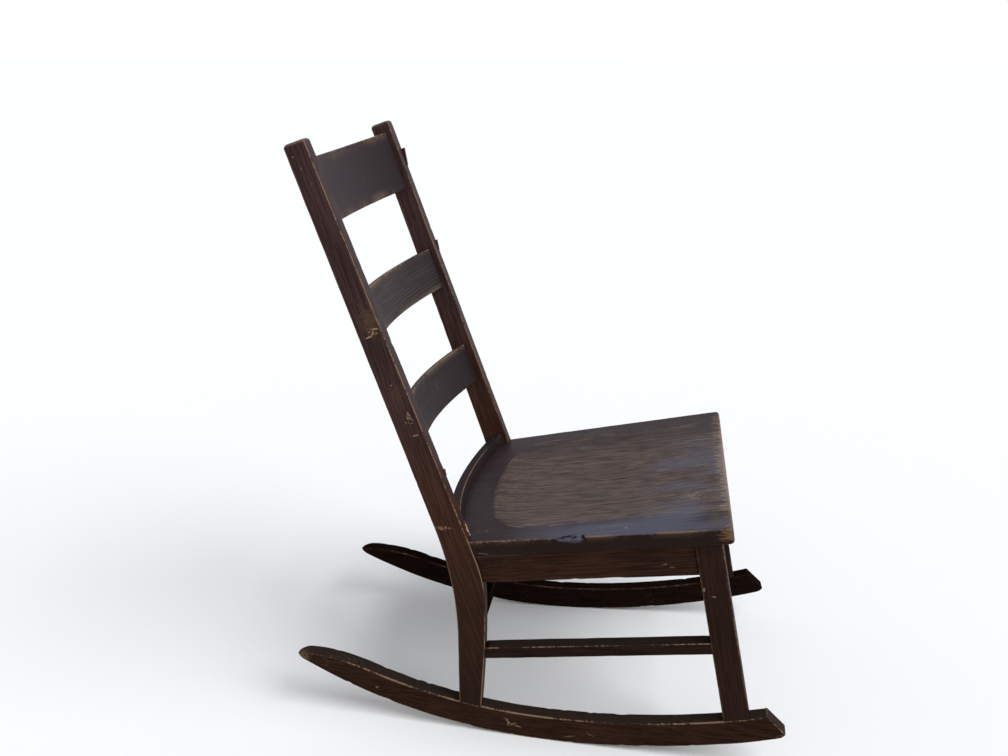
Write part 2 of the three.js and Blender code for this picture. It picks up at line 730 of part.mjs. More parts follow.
function scoopCutter() {
  const halfWidth = scoopHalfWidth * (1 + scoopMarginShare);
  const front = alongSeat(-seatFrontReach) - overrun;
  const rear = alongSeat(scoopRearReach) + scoopMarginShare * scoopRearRound;
  const tall = scoopDepth * 4;
  const cutter = new THREE.BoxGeometry(2 * halfWidth, rear - front, tall, scoopColumns, scoopRows, 1);
  cutter.translate(0, (rear + front) / 2, tall / 2);
  const places = cutter.attributes.position;
  for (let i = 0; i < places.count; i += 1) {
    if (places.getZ(i) < tall / 2) {
      const rim = Math.abs(places.getX(i)) / scoopHalfWidth;
      const rounding = alongSeat(scoopRearReach) - scoopRearRound;
      const back = Math.max(0, places.getY(i) - rounding) / scoopRearRound;
      const spread = (rim ** scoopRimPower + back ** scoopRimPower) ** (1 / scoopRimPower);
      const fade = THREE.MathUtils.smoothstep(places.getY(i) - front, 0, scoopFrontFade);
      const depth = scoopDepth * (scoopEndShare + (1 - scoopEndShare) * fade);
      places.setZ(i, depth * (spread ** 2 - 1));
    }
  }
  return solidFrom(cutter, seatFrame());
}

// Every screw, with the pieces that it passes through
const cornerBlocks = {};
for (const [name, side] of Object.entries(sides)) {
  cornerBlocks[`front_${name}`] = { side, ...cornerBlock(side, false) };
  cornerBlocks[`rear_${name}`] = { side, ...cornerBlock(side, true) };
}

const footScrews = {};
for (const [name, side] of Object.entries(sides)) {
  const leg = legFootTenon(side);
  const post = postFootTenon(side);
  footScrews[`front_${name}`] = footScrew(leg, rockerSoleAt(legAxisAt(rockerSoleAt(legFoot))));
  footScrews[`rear_${name}`] = footScrew(post, rockerSoleAt(postFootAxis));
}

// Finished pieces by name, each with its solid and its finish
const pieces = [];
const addPiece = (name, solid, finish) => pieces.push({ name, solid, finish });
const room = (tenon) => bar(tenon, clearance);
const crossRooms = Object.values(crossStretchers).map(({ tenon }) => room(tenon));

for (const [name, side] of Object.entries(sides)) {
  const rail = sideRail(side);
  const stretcher = sideStretcher(side);
  const railTenon = sideRailTenon(side);
  const legTenon = legFootTenon(side);
  const postTenon = postFootTenon(side);
  const bentRooms = Object.values(bentPieces).map((piece) => room(bentTenon(side, piece)));
  const footHoles = [screwRoom(footScrews[`front_${name}`]), screwRoom(footScrews[`rear_${name}`])];
  const cornerHoles = ['front', 'rear'].map((end) => screwRoom(cornerBlocks[`${end}_${name}`].cornerScrew));

  const rocker = carve(rockerBlank(side), [room(legTenon), room(postTenon), ...footHoles]);
  addPiece(`rocker_${name}`, rocker, warmOak);

  const legMortises = [room(railTenon), room(frontRailTenon(side)), room(stretcher.tenon), ...crossRooms];
  const leg = join(carve(legBlank(side), [rockerRoom(side), seatRoom(), ...legMortises]), [bar(legTenon)]);
  addPiece(`front_leg_${name}`, carve(leg, [footHoles[0], cornerHoles[0]]), warmOak);

  const postMortises = [room(railTenon), room(stretcher.tenon), ...crossRooms, ...bentRooms];
  const post = join(carve(postBlank(side), [rockerRoom(side), ...postMortises]), [bar(postTenon)]);
  addPiece(`rear_post_${name}`, carve(post, [footHoles[1], cornerHoles[1]]), warmOak);

  const railBody = carve(rail.blank(), [legRoom(side), postRoom(side), seatRoom()]);
  addPiece(`side_rail_${name}`, join(railBody, [bar(railTenon)]), warmOak);

  const stretcherBody = carve(bar(stretcher.whole), [legRoom(side), postRoom(side)]);
  addPiece(`side_stretcher_${name}`, join(stretcherBody, [bar(stretcher.tenon)]), warmOak);
}

const frontRailTenons = bothSides.map((side) => bar(frontRailTenon(side)));
const frontRailBody = carve(bar(frontRail()), [...besideLegs(), seatRoom()]);
addPiece('front_rail', join(frontRailBody, frontRailTenons), warmOak);

for (const [name, { whole, tenon }] of Object.entries(crossStretchers)) {
  const trims = name === 'front_stretcher' ? besideLegs() : besidePosts();
  addPiece(name, join(carve(bar(whole), trims), [bar(tenon)]), warmOak);
}

for (const [name, piece] of Object.entries(bentPieces)) {
  const tenons = bothSides.map((side) => bar(bentTenon(side, piece)));
  addPiece(name, join(carve(bentBlank(piece), besidePosts()), tenons), coolOak);
}

const seatSettings = { ease: seatEasedEdge };
const seatBoard = board(seatOutline(), seatThickness, seatFrame(-seatThickness / 2), seatSettings);
const seatCuts = [
  bentBlank(bentPieces.back_rail, clearance),
  ...bothSides.map((side) => postBlank(side, clearance)),
  scoopCutter(),
  ...Object.values(cornerBlocks).map(({ seatScrew }) => screwRoom(seatScrew)),
];
addPiece('seat', carve(seatBoard, seatCuts), wornOak);

for (const [name, { side, blank, cornerScrew, seatScrew }] of Object.entries(cornerBlocks)) {
  const blockCuts = [
    legBlank(side, clearance),
    postBlank(side, clearance),
    sideRail(side).blank(clearance),
    bar(frontRail(), clearance),
    bentBlank(bentPieces.back_rail, clearance),
    screwRoom(cornerScrew),
    screwRoom(seatScrew),
  ];
  addPiece(`corner_block_${name}`, carve(blank, blockCuts), hiddenOak);
  addPiece(`corner_screw_${name}`, screwSolid(cornerScrew), screwSteel);
  addPiece(`seat_screw_${name}`, screwSolid(seatScrew), screwSteel);
}

for (const [name, screw] of Object.entries(footScrews)) {
  addPiece(`rocker_screw_${name}`, screwSolid(screw), screwSteel);
}

// The chair, with its origin on the floor under the middle of its box
const chair = new THREE.Group();
chair.name = 'rocking_chair';
for (const { name, solid, finish } of pieces) {
  const { vertProperties, triVerts } = solid.getMesh();
  const geometry = new THREE.BufferGeometry();
  geometry.setAttribute('position', new THREE.BufferAttribute(vertProperties, 3));
  geometry.setIndex(new THREE.BufferAttribute(triVerts, 1));
  geometry.computeVertexNormals();
  const mesh = new THREE.Mesh(geometry, new THREE.MeshStandardMaterial({ metalness: 0, ...finish }));
  mesh.name = name;
  chair.add(mesh);
}
const box = new THREE.Box3().setFromObject(chair);
chair.position.y = -box.getCenter(new THREE.Vector3()).y;
chair.updateMatrixWorld(true);

export default chair;
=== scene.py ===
"""An old armless ladder-back rocking chair in dark stained oak, dressed for a plain pale studio.

Lengths are metres in the part's own frame: X across the chair, Y from its front to its back, Z up.
The chair is drawn in the same frame moved back by REST_SHIFT, where Y is zero under the rockers'
resting point, and a piece is moved into the part's frame when its mesh is finished.
"""

import logging
import math
from dataclasses import dataclass, field, replace
from enum import Enum
from typing import ClassVar, Optional, Sequence

import bmesh
import bpy
import numpy as np
from mathutils import Matrix, Vector, noise


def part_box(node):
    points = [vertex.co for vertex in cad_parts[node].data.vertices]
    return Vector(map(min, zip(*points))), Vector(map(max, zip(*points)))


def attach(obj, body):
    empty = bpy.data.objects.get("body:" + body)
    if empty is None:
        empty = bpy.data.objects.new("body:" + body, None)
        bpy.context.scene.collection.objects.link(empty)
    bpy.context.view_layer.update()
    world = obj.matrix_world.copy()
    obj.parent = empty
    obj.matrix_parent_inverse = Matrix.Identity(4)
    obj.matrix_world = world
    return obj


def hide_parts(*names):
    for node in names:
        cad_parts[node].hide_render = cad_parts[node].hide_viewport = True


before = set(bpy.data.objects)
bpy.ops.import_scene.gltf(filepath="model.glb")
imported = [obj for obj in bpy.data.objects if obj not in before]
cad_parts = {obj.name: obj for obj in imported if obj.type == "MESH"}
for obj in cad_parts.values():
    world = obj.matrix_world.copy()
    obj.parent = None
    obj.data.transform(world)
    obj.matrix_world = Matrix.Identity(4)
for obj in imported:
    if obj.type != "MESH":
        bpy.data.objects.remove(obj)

LOG = logging.getLogger("rocking_chair")
BODY = "root"
REST_SHIFT = Vector((0.0, -0.01238, 0.0))
MILLIMETRE = 0.001

Piece = bpy.types.Object
Node = bpy.types.Node
Socket = bpy.types.NodeSocket
Outputs = bpy.types.bpy_prop_collection
Tree = bpy.types.NodeTree
Colour = tuple[float, float, float]
Place = tuple[float, float, float]
Ring = list[tuple[Vector, float]]

EDGE_ATTRIBUTE = "arris"
SECTION_ATTRIBUTE = "section"
SCOOP_ATTRIBUTE = "scoop"
# No spot is stored as farther from an arris than this
EDGE_LIMIT = 9 * MILLIMETRE

ACROSS = Vector((1, 0, 0))
BACKWARDS = Vector((0, 1, 0))
UP = Vector((0, 0, 1))
SOLVER_ROUNDS = 12
SCREW_POINT_RADIUS = 0.0002


class Side(Enum):
    """The two sides of the chair, as its sitter names them."""

    LEFT = 1
    RIGHT = -1

    @property
    def word(self) -> str:
        """The side's name, as the CAD nodes spell it."""
        return self.name.lower()


class End(Enum):
    """The two ends of the chair, as the CAD nodes spell them."""

    FRONT = "front"
    REAR = "rear"


class EdgeSource(Enum):
    """Where a material reads how far a spot is from the nearest arris."""

    STORED = "stored"
    SECTION = "section"
    NONE = "none"


class Slot(Enum):
    """The record's material slot names, handed with each new piece to settle, which does not use them."""

    FRAME = "stained_oak_frame"
    BACK = "stained_oak_back"
    SEAT = "stained_oak_seat"
    SCREWS = "steel_screws"


# Sizes that several pieces share, and the places that follow from them


def frame_at(place: Sequence[float], angle: float, axis: str) -> Matrix:
    """A frame at a place, turned about one axis."""
    return Matrix.Translation(place) @ Matrix.Rotation(angle, 4, axis)


@dataclass(frozen=True)
class ChairPlan:
    """Shared sizes of the chair in metres, and the lines and frames that its pieces are drawn on."""

    rocker_front_radius: float = 1.150
    rocker_rear_radius: float = 0.820
    rocker_depth: float = 0.0405
    rocker_thickness: float = 0.024
    seat_height: float = 0.342
    seat_slope: float = 0.178
    seat_thickness: float = 0.024
    leg_depth: float = 0.0374
    leg_rake: float = 0.207
    leg_reach: float = 0.306
    post_thickness: float = 0.022
    post_half_span: float = 0.1963
    post_splay: float = 0.0132
    post_lean: float = 0.358
    post_seat_setback: float = 0.127
    post_seat_height: float = 0.330
    post_shin_front: float = 0.080
    post_shin_depth: float = 0.0415
    side_taper: float = 0.0459
    stretcher_level: float = 0.1438
    stretcher_slope: float = 0.151
    stretcher_height: float = 0.0185
    stretcher_width: float = 0.022
    stretcher_lift: float = 0.0045
    rail_thickness: float = 0.020
    rail_inset: float = 0.0025
    gap: float = 0.0003

    @property
    def shin_axis(self) -> float:
        """How far behind the resting point the middle of a post's upright part stands."""
        return self.post_shin_front + self.post_shin_depth / 2

    @property
    def leg_half(self) -> float:
        """Half of a front leg's depth, measured level."""
        return self.leg_depth / 2 * math.sqrt(1 + self.leg_rake**2)

    @property
    def track_half_width(self) -> float:
        """Outer face of a rocker from the middle, at the resting point."""
        return self.post_half_span + self.side_taper * self.shin_axis

    @property
    def side_angle(self) -> float:
        """Angle in plan by which the two sides open out forwards."""
        return math.atan(self.side_taper)

    @property
    def splay_angle(self) -> float:
        """Angle by which the posts lean outwards."""
        return math.atan(self.post_splay)

    @property
    def seat_angle(self) -> float:
        """Angle by which the seat rises forwards."""
        return math.atan(self.seat_slope)

    @property
    def lean_angle(self) -> float:
        """Angle by which the back leans."""
        return math.atan(self.post_lean)

    def sole(self, y: float) -> float:
        """Height of a rocker's sole at y."""
        radius = self.rocker_front_radius if y < 0 else self.rocker_rear_radius
        return radius - math.sqrt(radius**2 - y**2)

    def rocker_top(self, y: float) -> float:
        """Height of a rocker's upper face at y."""
        return self.sole(y) + self.rocker_depth

    def seat_under(self, y: float) -> float:
        """Height of the seat's underside at y."""
        return self.seat_height - self.seat_slope * y - self.seat_thickness / math.cos(self.seat_angle)

    def leg_axis(self, z: float) -> float:
        """Y of a front leg's axis at height z."""
        return self.leg_rake * z - self.leg_reach

    def leg_crossing(self, height: float, rise: float) -> float:
        """Y where a leg's axis meets a line of this height at the resting point and this rise forwards."""
        return (self.leg_rake * height - self.leg_reach) / (1 + self.leg_rake * rise)

    def stretcher_axis(self, y: float) -> float:
        """Height of a side stretcher's axis at y."""
        return self.stretcher_level + self.stretcher_height / 2 - self.stretcher_slope * y

    def base_frame(self, side: Side) -> Matrix:
        """Frame of a rocker's plane: x to the left through its thickness, y backwards, z up."""
        centre = self.track_half_width - self.rocker_thickness / 2 / math.cos(self.side_angle)
        return frame_at((side.value * centre, 0, 0), side.value * self.side_angle, "Z")

    def post_frame(self, side: Side) -> Matrix:
        """Frame of a rear post's plane: x to the left through its thickness, y backwards, z up along it."""
        centre = self.post_half_span - self.post_thickness / 2 / math.cos(self.splay_angle)
        return frame_at((side.value * centre, 0, 0), side.value * self.splay_angle, "Y")

    def seat_frame(self) -> Matrix:
        """Frame of the seat's top: x across, y backwards down the slope, z out of the top."""
        return frame_at((0, 0, self.seat_height), -self.seat_angle, "X")

    def back_frame(self, level: float = 0.0) -> Matrix:
        """Frame of the back at a level along the lean: x across, y backwards, z up along the posts."""
        start = frame_at((0, self.post_seat_setback, self.post_seat_height), -self.lean_angle, "X")
        return start @ Matrix.Translation((0, 0, level))

    def post_inner(self, z: float) -> float:
        """Inner face of a post from the middle, at height z."""
        return self.post_half_span + self.post_splay * z - self.post_thickness / math.cos(self.splay_angle)


PLAN = ChairPlan()


# Mesh making


# How far apart two seeds read the noise
SEED_STEPS = (7.31, 3.17)


def wander(place: float, seed: float, pitch: float) -> float:
    """Smooth noise along a length.

    Args:
        place: Where along the length, in metres.
        seed: Which noise to read.
        pitch: Length of one swing, in metres.

    Returns:
        A value between about -1 and 1.
    """
    return noise.noise(Vector((place / pitch, *(seed * step for step in SEED_STEPS))))


def smooth_step(low: float, high: float, value: float) -> float:
    """Zero below low, one above high and a smooth rise between."""
    share = min(1.0, max(0.0, (value - low) / (high - low)))
    return share * share * (3 - 2 * share)


def quadratic(start: Vector, control: Vector, end: Vector, steps: int) -> list[Vector]:
    """Points of a quadratic curve, its start left out and its end kept."""
    shares = [step / steps for step in range(1, steps + 1)]
    return [start * (1 - t) ** 2 + control * (2 * t * (1 - t)) + end * t**2 for t in shares]


def bent_line(corners: Sequence[tuple[float, float, float]], steps: int = 24) -> np.ndarray:
    """A line through corners whose bends are rounded by quadratic curves.

    Args:
        corners: Each corner's two coordinates and its rounding length.
        steps: Straight steps in each bend.

    Returns:
        The line's points, one in each row.
    """
    places = [Vector(corner[:2]) for corner in corners]
    line = [places[0]]
    for index in range(1, len(corners) - 1):
        rounding = corners[index][2]
        before = (places[index - 1] - places[index]).normalized() * rounding + places[index]
        after = (places[index + 1] - places[index]).normalized() * rounding + places[index]
        line.append(before)
        if rounding > 0:
            line.extend(quadratic(before, places[index], after, steps))
    line.append(places[-1])
    return np.array([tuple(point) for point in line])


def y_at(line: np.ndarray, z: float) -> float:
    """Y at height z of a line in side view, whose rows are y and z."""
    return float(np.interp(z, line[:, 1], line[:, 0]))


@dataclass
class Station:
    """One cross-section of a sawn stick.

    Args:
        centre: A point inside the section.
        across: Direction through the stick's thickness.
        deep: Direction through the stick's depth.
        half_width: Half of the thickness.
        low: Depth from the centre against deep.
        high: Depth from the centre along deep.
        run: Distance along the stick.
    """

    centre: Vector
    across: Vector
    deep: Vector
    half_width: float
    low: float
    high: float
    run: float = 0.0

    def vectors(self) -> tuple[Vector, Vector, Vector]:
        """Its centre and its two directions."""
        return self.centre, self.across, self.deep

    def sizes(self) -> tuple[float, float, float]:
        """Its half width and its two depths."""
        return self.half_width, self.low, self.high


@dataclass
class StickShape:
    """How the arrises and ends of a sawn stick have worn.

    Args:
        radius: Usual radius along the arrises.
        unevenness: Share by which that radius wanders along the stick.
        dents: Number of small knocks on the arrises.
        dent_radius: Largest radius that a knock leaves.
        start_rounding: Rounding of the first end, zero where another piece hides it.
        end_rounding: The same for the last end.
        seed: Which noise the wear follows.
        steps: Straight steps around each arris.
    """

    radius: float = 0.002
    unevenness: float = 0.35
    dents: int = 10
    dent_radius: float = 0.0045
    start_rounding: float = 0.0
    end_rounding: float = 0.0
    seed: float = 1.0
    steps: int = 4


class StickMaker:
    """Sweeps a rounded section along stations and keeps each point's distance from its arris."""

    RING_OFFSETS = (3 * MILLIMETRE, 7.5 * MILLIMETRE)
    OFFSET_SHARES = (0.2, 0.45)
    LARGEST_RADIUS_SHARE = 0.45
    SMALLEST_RADIUS_SHARE = 0.35
    INSET_RADIUS_SHARE = 0.1
    CLOSING_SHARE = 0.85
    SLOW_SHARE = 0.7
    SLOW_PITCH = 0.09
    QUICK_SHARE = 0.5
    QUICK_PITCH = 0.023
    CORNER_SEEDS = 5.3
    QUICK_SEEDS = 2.1
    DENT_PLACES = (0.02, 0.98)
    DENT_SIZES = (0.3, 1.0)
    DENT_REACH = (0.002, 0.007)

    def __init__(self, shape: StickShape) -> None:
        """Keeps the shape and starts its random draws.

        Args:
            shape: How the stick has worn.
        """
        self.shape = shape
        self.random = np.random.default_rng(int(shape.seed * 1000))
        self.dents: list[tuple[float, int, float, float]] = []

    def ring(self, width: float, low: float, high: float, radii: Sequence[float]) -> list[Place]:
        """One rounded section.

        Args:
            width: Half of the thickness.
            low: Depth below the centre.
            high: Depth above the centre.
            radii: Radius of each of the four arrises, from the outer high one round.

        Returns:
            For each point its place across, its depth and its distance from the nearest arris.
        """
        limit = self.LARGEST_RADIUS_SHARE * min(2 * width, low + high)
        radii = [min(radius, limit) for radius in radii]
        signs = ((1, 1), (-1, 1), (-1, -1), (1, -1))
        points = []
        for corner, (sign_u, sign_v) in enumerate(signs):
            radius = radii[corner]
            following = radii[(corner + 1) % 4]
            centre_u = sign_u * (width - radius)
            centre_v = (high - radius) if sign_v > 0 else -(low - radius)
            start = corner * math.pi / 2
            for step in range(self.shape.steps + 1):
                turn = start + step / self.shape.steps * math.pi / 2
                bend = abs(step / self.shape.steps - 0.5) * math.pi / 2
                spot = (centre_u + radius * math.cos(turn), centre_v + radius * math.sin(turn))
                points.append((*spot, radius * bend))
            length = (low + high if corner % 2 else 2 * width) - radius - following
            last = points[-1]
            step_u, step_v = (0, -sign_v) if corner % 2 else (-sign_u, 0)
            rows = zip(self.RING_OFFSETS, self.OFFSET_SHARES)
            offsets = [min(offset, share * length) for offset, share in rows]
            offsets += [length - offset for offset in reversed(offsets)]
            for offset in offsets:
                near = min(offset + radius * math.pi / 4, length - offset + following * math.pi / 4)
                points.append((last[0] + step_u * offset, last[1] + step_v * offset, near))
        return points

    def radii_at(self, run: float) -> list[float]:
        """Works out how far each arris is rounded at one place.

        Args:
            run: Distance along the stick.

        Returns:
            The radius of each of the four arrises.
        """
        shape = self.shape
        radii = []
        for corner in range(4):
            seed = shape.seed + corner * self.CORNER_SEEDS
            slow = self.SLOW_SHARE * wander(run, seed, self.SLOW_PITCH)
            quick = self.QUICK_SHARE * wander(run, seed + self.QUICK_SEEDS, self.QUICK_PITCH)
            radius = shape.radius * (1 + 2 * shape.unevenness * (slow + quick))
            for place, at_corner, size, reach in self.dents:
                if at_corner == corner:
                    radius += size * max(0.0, 1 - ((run - place) / reach) ** 2)
            radii.append(max(self.SMALLEST_RADIUS_SHARE * shape.radius, radius))
        return radii

    def build(self, name: str, stations: Sequence[Station]) -> Piece:
        """Makes the stick's mesh object.

        Args:
            name: Name of the new piece.
            stations: The sections in order, first end to last, each with its run.

        Returns:
            The new object, still in drawing coordinates.
        """
        shape = self.shape
        length = stations[-1].run
        for _ in range(shape.dents):
            place = self.random.uniform(*self.DENT_PLACES) * length
            corner = int(self.random.integers(0, 4))
            size = self.random.uniform(*self.DENT_SIZES) * (shape.dent_radius - shape.radius)
            self.dents.append((place, corner, size, self.random.uniform(*self.DENT_REACH)))
        still = Vector()
        rings = [self.station_ring(station, 0.0, still, length) for station in stations]
        first_way = (stations[0].centre - stations[1].centre).normalized()
        last_way = (stations[-1].centre - stations[-2].centre).normalized()
        first = self.end_rings(stations[0], shape.start_rounding, length, first_way)
        last = self.end_rings(stations[-1], shape.end_rounding, length, last_way)
        return self.mesh_from(name, first[::-1] + rings + last)

    def station_ring(self, station: Station, inset: float, shift: Vector, length: float) -> Ring:
        """World points of one section.

        Args:
            station: The section.
            inset: How far it is drawn in from the faces.
            shift: How far it is moved.
            length: Length of the stick.

        Returns:
            Each point and its distance from the nearest arris.
        """
        radii = self.radii_at(station.run)
        radii = [max(radius - inset, self.INSET_RADIUS_SHARE * radius) for radius in radii]
        ends = [EDGE_LIMIT]
        if self.shape.start_rounding > 0:
            ends.append(station.run + self.shape.start_rounding * math.pi / 4)
        if self.shape.end_rounding > 0:
            ends.append(length - station.run + self.shape.end_rounding * math.pi / 4)
        ring = self.ring(station.half_width - inset, station.low - inset, station.high - inset, radii)
        points = []
        for u, v, near in ring:
            place = station.centre + station.across * u + station.deep * v + shift
            points.append((place, min(near, *ends)))
        return points

    def end_rings(self, station: Station, rounding: float, length: float, way: Vector) -> list[Ring]:
        """Rings that round an end and close it in.

        Args:
            station: The section at the end.
            rounding: Radius of the end's arris, zero for a plain end.
            length: Length of the stick.
            way: Direction out of this end.

        Returns:
            The rings, from the stick outwards.
        """
        if rounding <= 0:
            return []
        facing = station.across.cross(station.deep).normalized()
        facing *= math.copysign(1.0, facing.dot(way))
        rings = []
        for step in range(1, self.shape.steps + 1):
            turn = step / self.shape.steps * math.pi / 2
            inset = rounding * (1 - math.cos(turn))
            ring = self.station_ring(station, inset, facing * rounding * math.sin(turn), length)
            near = abs(step / self.shape.steps - 0.5) * math.pi / 2 * rounding
            rings.append([(place, min(edge, near)) for place, edge in ring])
        room = min(station.half_width, (station.low + station.high) / 2) - rounding
        for offset in self.RING_OFFSETS:
            inset = rounding + min(offset, offset / self.RING_OFFSETS[-1] * self.CLOSING_SHARE * room)
            ring = self.station_ring(station, inset, facing * rounding, length)
            near = inset - rounding + rounding * math.pi / 4
            rings.append([(place, min(near, EDGE_LIMIT)) for place, _ in ring])
        return rings

    def mesh_from(self, name: str, rings: Sequence[Ring]) -> Piece:
        """Joins rings into one closed mesh with the arris distance on its points.

        Args:
            name: Name of the new piece.
            rings: The points of each ring and their distances from the nearest arris.

        Returns:
            The new object.
        """
        count = len(rings[0])
        verts = [place for ring in rings for place, _ in ring]
        edges = [near for ring in rings for _, near in ring]
        faces = []
        for row in range(len(rings) - 1):
            for index in range(count):
                after = (index + 1) % count
                low = row * count
                high = low + count
                faces.append((low + index, low + after, high + after, high + index))
        faces.append(tuple(reversed(range(count))))
        faces.append(tuple(range((len(rings) - 1) * count, len(rings) * count)))
        mesh = bpy.data.meshes.new(name)
        mesh.from_pydata(verts, [], faces)
        store = mesh.attributes.new(EDGE_ATTRIBUTE, "FLOAT", "POINT")
        store.data.foreach_set("value", edges)
        face_outwards(mesh)
        return link_new(name, mesh)


def face_outwards(mesh: bpy.types.Mesh) -> None:
    """Turns all faces of a closed mesh outwards and shades them smoothly.

    Args:
        mesh: The mesh.
    """
    work = bmesh.new()
    work.from_mesh(mesh)
    bmesh.ops.recalc_face_normals(work, faces=work.faces)
    for face in work.faces:
        face.smooth = True
    work.to_mesh(mesh)
    work.free()


def settle(piece: Piece, nodes: Sequence[str], slot: Slot, frame_matrix: Optional[Matrix] = None) -> Piece:
    """Moves a finished mesh into the part's frame and lets it stand for its CAD nodes.

    Args:
        piece: The new piece, whose object stays at the origin.
        nodes: The CAD nodes that it replaces, none for a splinter.
        slot: The material slot meant for its finish; not used.
        frame_matrix: The frame that its mesh was drawn in.

    Returns:
        The same piece.
    """
    piece.data.transform(Matrix.Translation(REST_SHIFT) @ (frame_matrix or Matrix()))
    piece.data.update()
    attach(piece, BODY)
    if nodes:
        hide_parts(*nodes)
    return piece


def link_new(name: str, mesh: bpy.types.Mesh) -> Piece:
    """Makes an object of a mesh and puts it in the scene.

    Args:
        name: Name of the object.
        mesh: Its mesh.

    Returns:
        The object.
    """
    piece = bpy.data.objects.new(name, mesh)
    bpy.context.scene.collection.objects.link(piece)
    return piece


def in_part(matrix: Matrix, place: Sequence[float]) -> Vector:
    """A place of a drawing frame in the part's own frame."""
    return matrix @ Vector(place) + REST_SHIFT


def lerp_stations(first: Station, last: Station, pitch: float) -> list[Station]:
    """Stations of a straight stick from its two ends.

    Args:
        first: The section at one end.
        last: The section at the other end.
        pitch: About how far apart the stations stand.

    Returns:
        The stations in order, with their runs.
    """
    length = (last.centre - first.centre).length
    steps = max(2, round(length / pitch))
    stations = []
    for step in range(steps + 1):
        share = step / steps
        centre, across, deep = (one.lerp(other, share) for one, other in zip(first.vectors(), last.vectors()))
        half, low, high = (one + (other - one) * share for one, other in zip(first.sizes(), last.sizes()))
        stations.append(Station(centre, across, deep, half, low, high, length * share))
    return stations


def sheared(cut: Vector, square: Vector) -> Vector:
    """Direction of a slanted cut, stretched so that depths along it match a square section."""
    return cut / cut.dot(square)


def set_runs(stations: Sequence[Station]) -> None:
    """Writes into each station how far along the stick it stands."""
    for before, after in zip(stations, stations[1:]):
        after.run = before.run + (after.centre - before.centre).length


# Shader nodes


class NodeBench:
    """Adds and links nodes in one tree, so that a material reads as a list of steps."""

    def __init__(self, tree: Tree) -> None:
        """Keeps the tree that the nodes go into."""
        self.tree = tree

    def add(self, kind: str, inputs: Optional[dict[object, object]] = None, **settings: object) -> Node:
        """Adds a node.

        Args:
            kind: The node's type name.
            inputs: Values or sockets for its inputs, by name or number.
            settings: Property values by name.

        Returns:
            The new node.
        """
        node = self.tree.nodes.new(kind)
        for key, value in settings.items():
            setattr(node, key, value)
        for key, value in (inputs or {}).items():
            self.feed(node.inputs[key], value)
        return node

    def feed(self, socket: Socket, value: object) -> None:
        """Gives an input its value.

        Args:
            socket: The input.
            value: A socket to link, or a plain value, three numbers for a colour.
        """
        if isinstance(value, Socket):
            self.tree.links.new(value, socket)
        elif socket.type == "RGBA":
            socket.default_value = (*value, 1.0)
        else:
            socket.default_value = value

    def math(self, operation: str, *values: object, clamp: bool = False) -> Socket:
        """One step of arithmetic on numbers."""
        inputs = dict(enumerate(values))
        return self.add("ShaderNodeMath", inputs, operation=operation, use_clamp=clamp).outputs[0]

    def times(self, first: object, second: object) -> Socket:
        """The product of two numbers."""
        return self.math("MULTIPLY", first, second)

    def plus(self, first: object, second: object) -> Socket:
        """The sum of two numbers."""
        return self.math("ADD", first, second)

    def less(self, first: object, second: object) -> Socket:
        """The first number less the second."""
        return self.math("SUBTRACT", first, second)

    def fused(self, value: object, factor: object, start: object, clamp: bool = False) -> Socket:
        """A value times a factor, added to a start."""
        return self.math("MULTIPLY_ADD", value, factor, start, clamp=clamp)

    def vector(self, operation: str, *values: object) -> Socket:
        """One step of arithmetic on vectors."""
        node = self.add("ShaderNodeVectorMath", dict(enumerate(values)), operation=operation)
        return node.outputs["Value" if operation == "LENGTH" else "Vector"]

    def parts(self, vector: Socket) -> list[Socket]:
        """The three parts of a vector."""
        return list(self.add("ShaderNodeSeparateXYZ", {0: vector}).outputs)

    def joined(self, *parts: object) -> Socket:
        """A vector of three parts."""
        return self.add("ShaderNodeCombineXYZ", dict(enumerate(parts))).outputs[0]

    def turned(self, vector: Socket, rotation: Place, location: Place = (0, 0, 0)) -> Socket:
        """A vector turned and then moved."""
        inputs = {"Vector": vector, "Location": location, "Rotation": rotation}
        return self.add("ShaderNodeMapping", inputs).outputs[0]

    def noise(self, vector: Socket, scale: object, detail: float = 2.0) -> Socket:
        """Smooth noise, with its own scale along each axis.

        Args:
            vector: Where to read it, in metres.
            scale: Swings for each metre along each axis.
            detail: Octaves of finer noise.

        Returns:
            A value around one half.
        """
        inputs = {"Vector": self.vector("MULTIPLY", vector, scale), "Scale": 1.0, "Detail": detail}
        return self.add("ShaderNodeTexNoise", inputs).outputs[0]

    def ramp(self, value: object, low: object, high: object) -> Socket:
        """Zero at low, one at high and a smooth rise or fall between."""
        inputs = {"Value": value, "From Min": low, "From Max": high}
        return self.add("ShaderNodeMapRange", inputs, interpolation_type="SMOOTHSTEP", clamp=True).outputs[0]

    def blend(self, share: object, first: object, second: object) -> Socket:
        """A colour between two.

        Args:
            share: How much of the second colour it has.
            first: The first colour.
            second: The second colour.

        Returns:
            The colour between them.
        """
        node = self.add("ShaderNodeMix", data_type="RGBA")
        for identifier, part in (("Factor_Float", share), ("A_Color", first), ("B_Color", second)):
            self.feed(next(item for item in node.inputs if item.identifier == identifier), part)
        return next(item for item in node.outputs if item.identifier == "Result_Color")

    def group(self, tree: Tree, **values: object) -> Outputs:
        """Places a node group with its inputs by name, _ for a space, and gives its outputs."""
        inputs = {key.replace("_", " "): value for key, value in values.items()}
        return self.add("ShaderNodeGroup", inputs, node_tree=tree).outputs


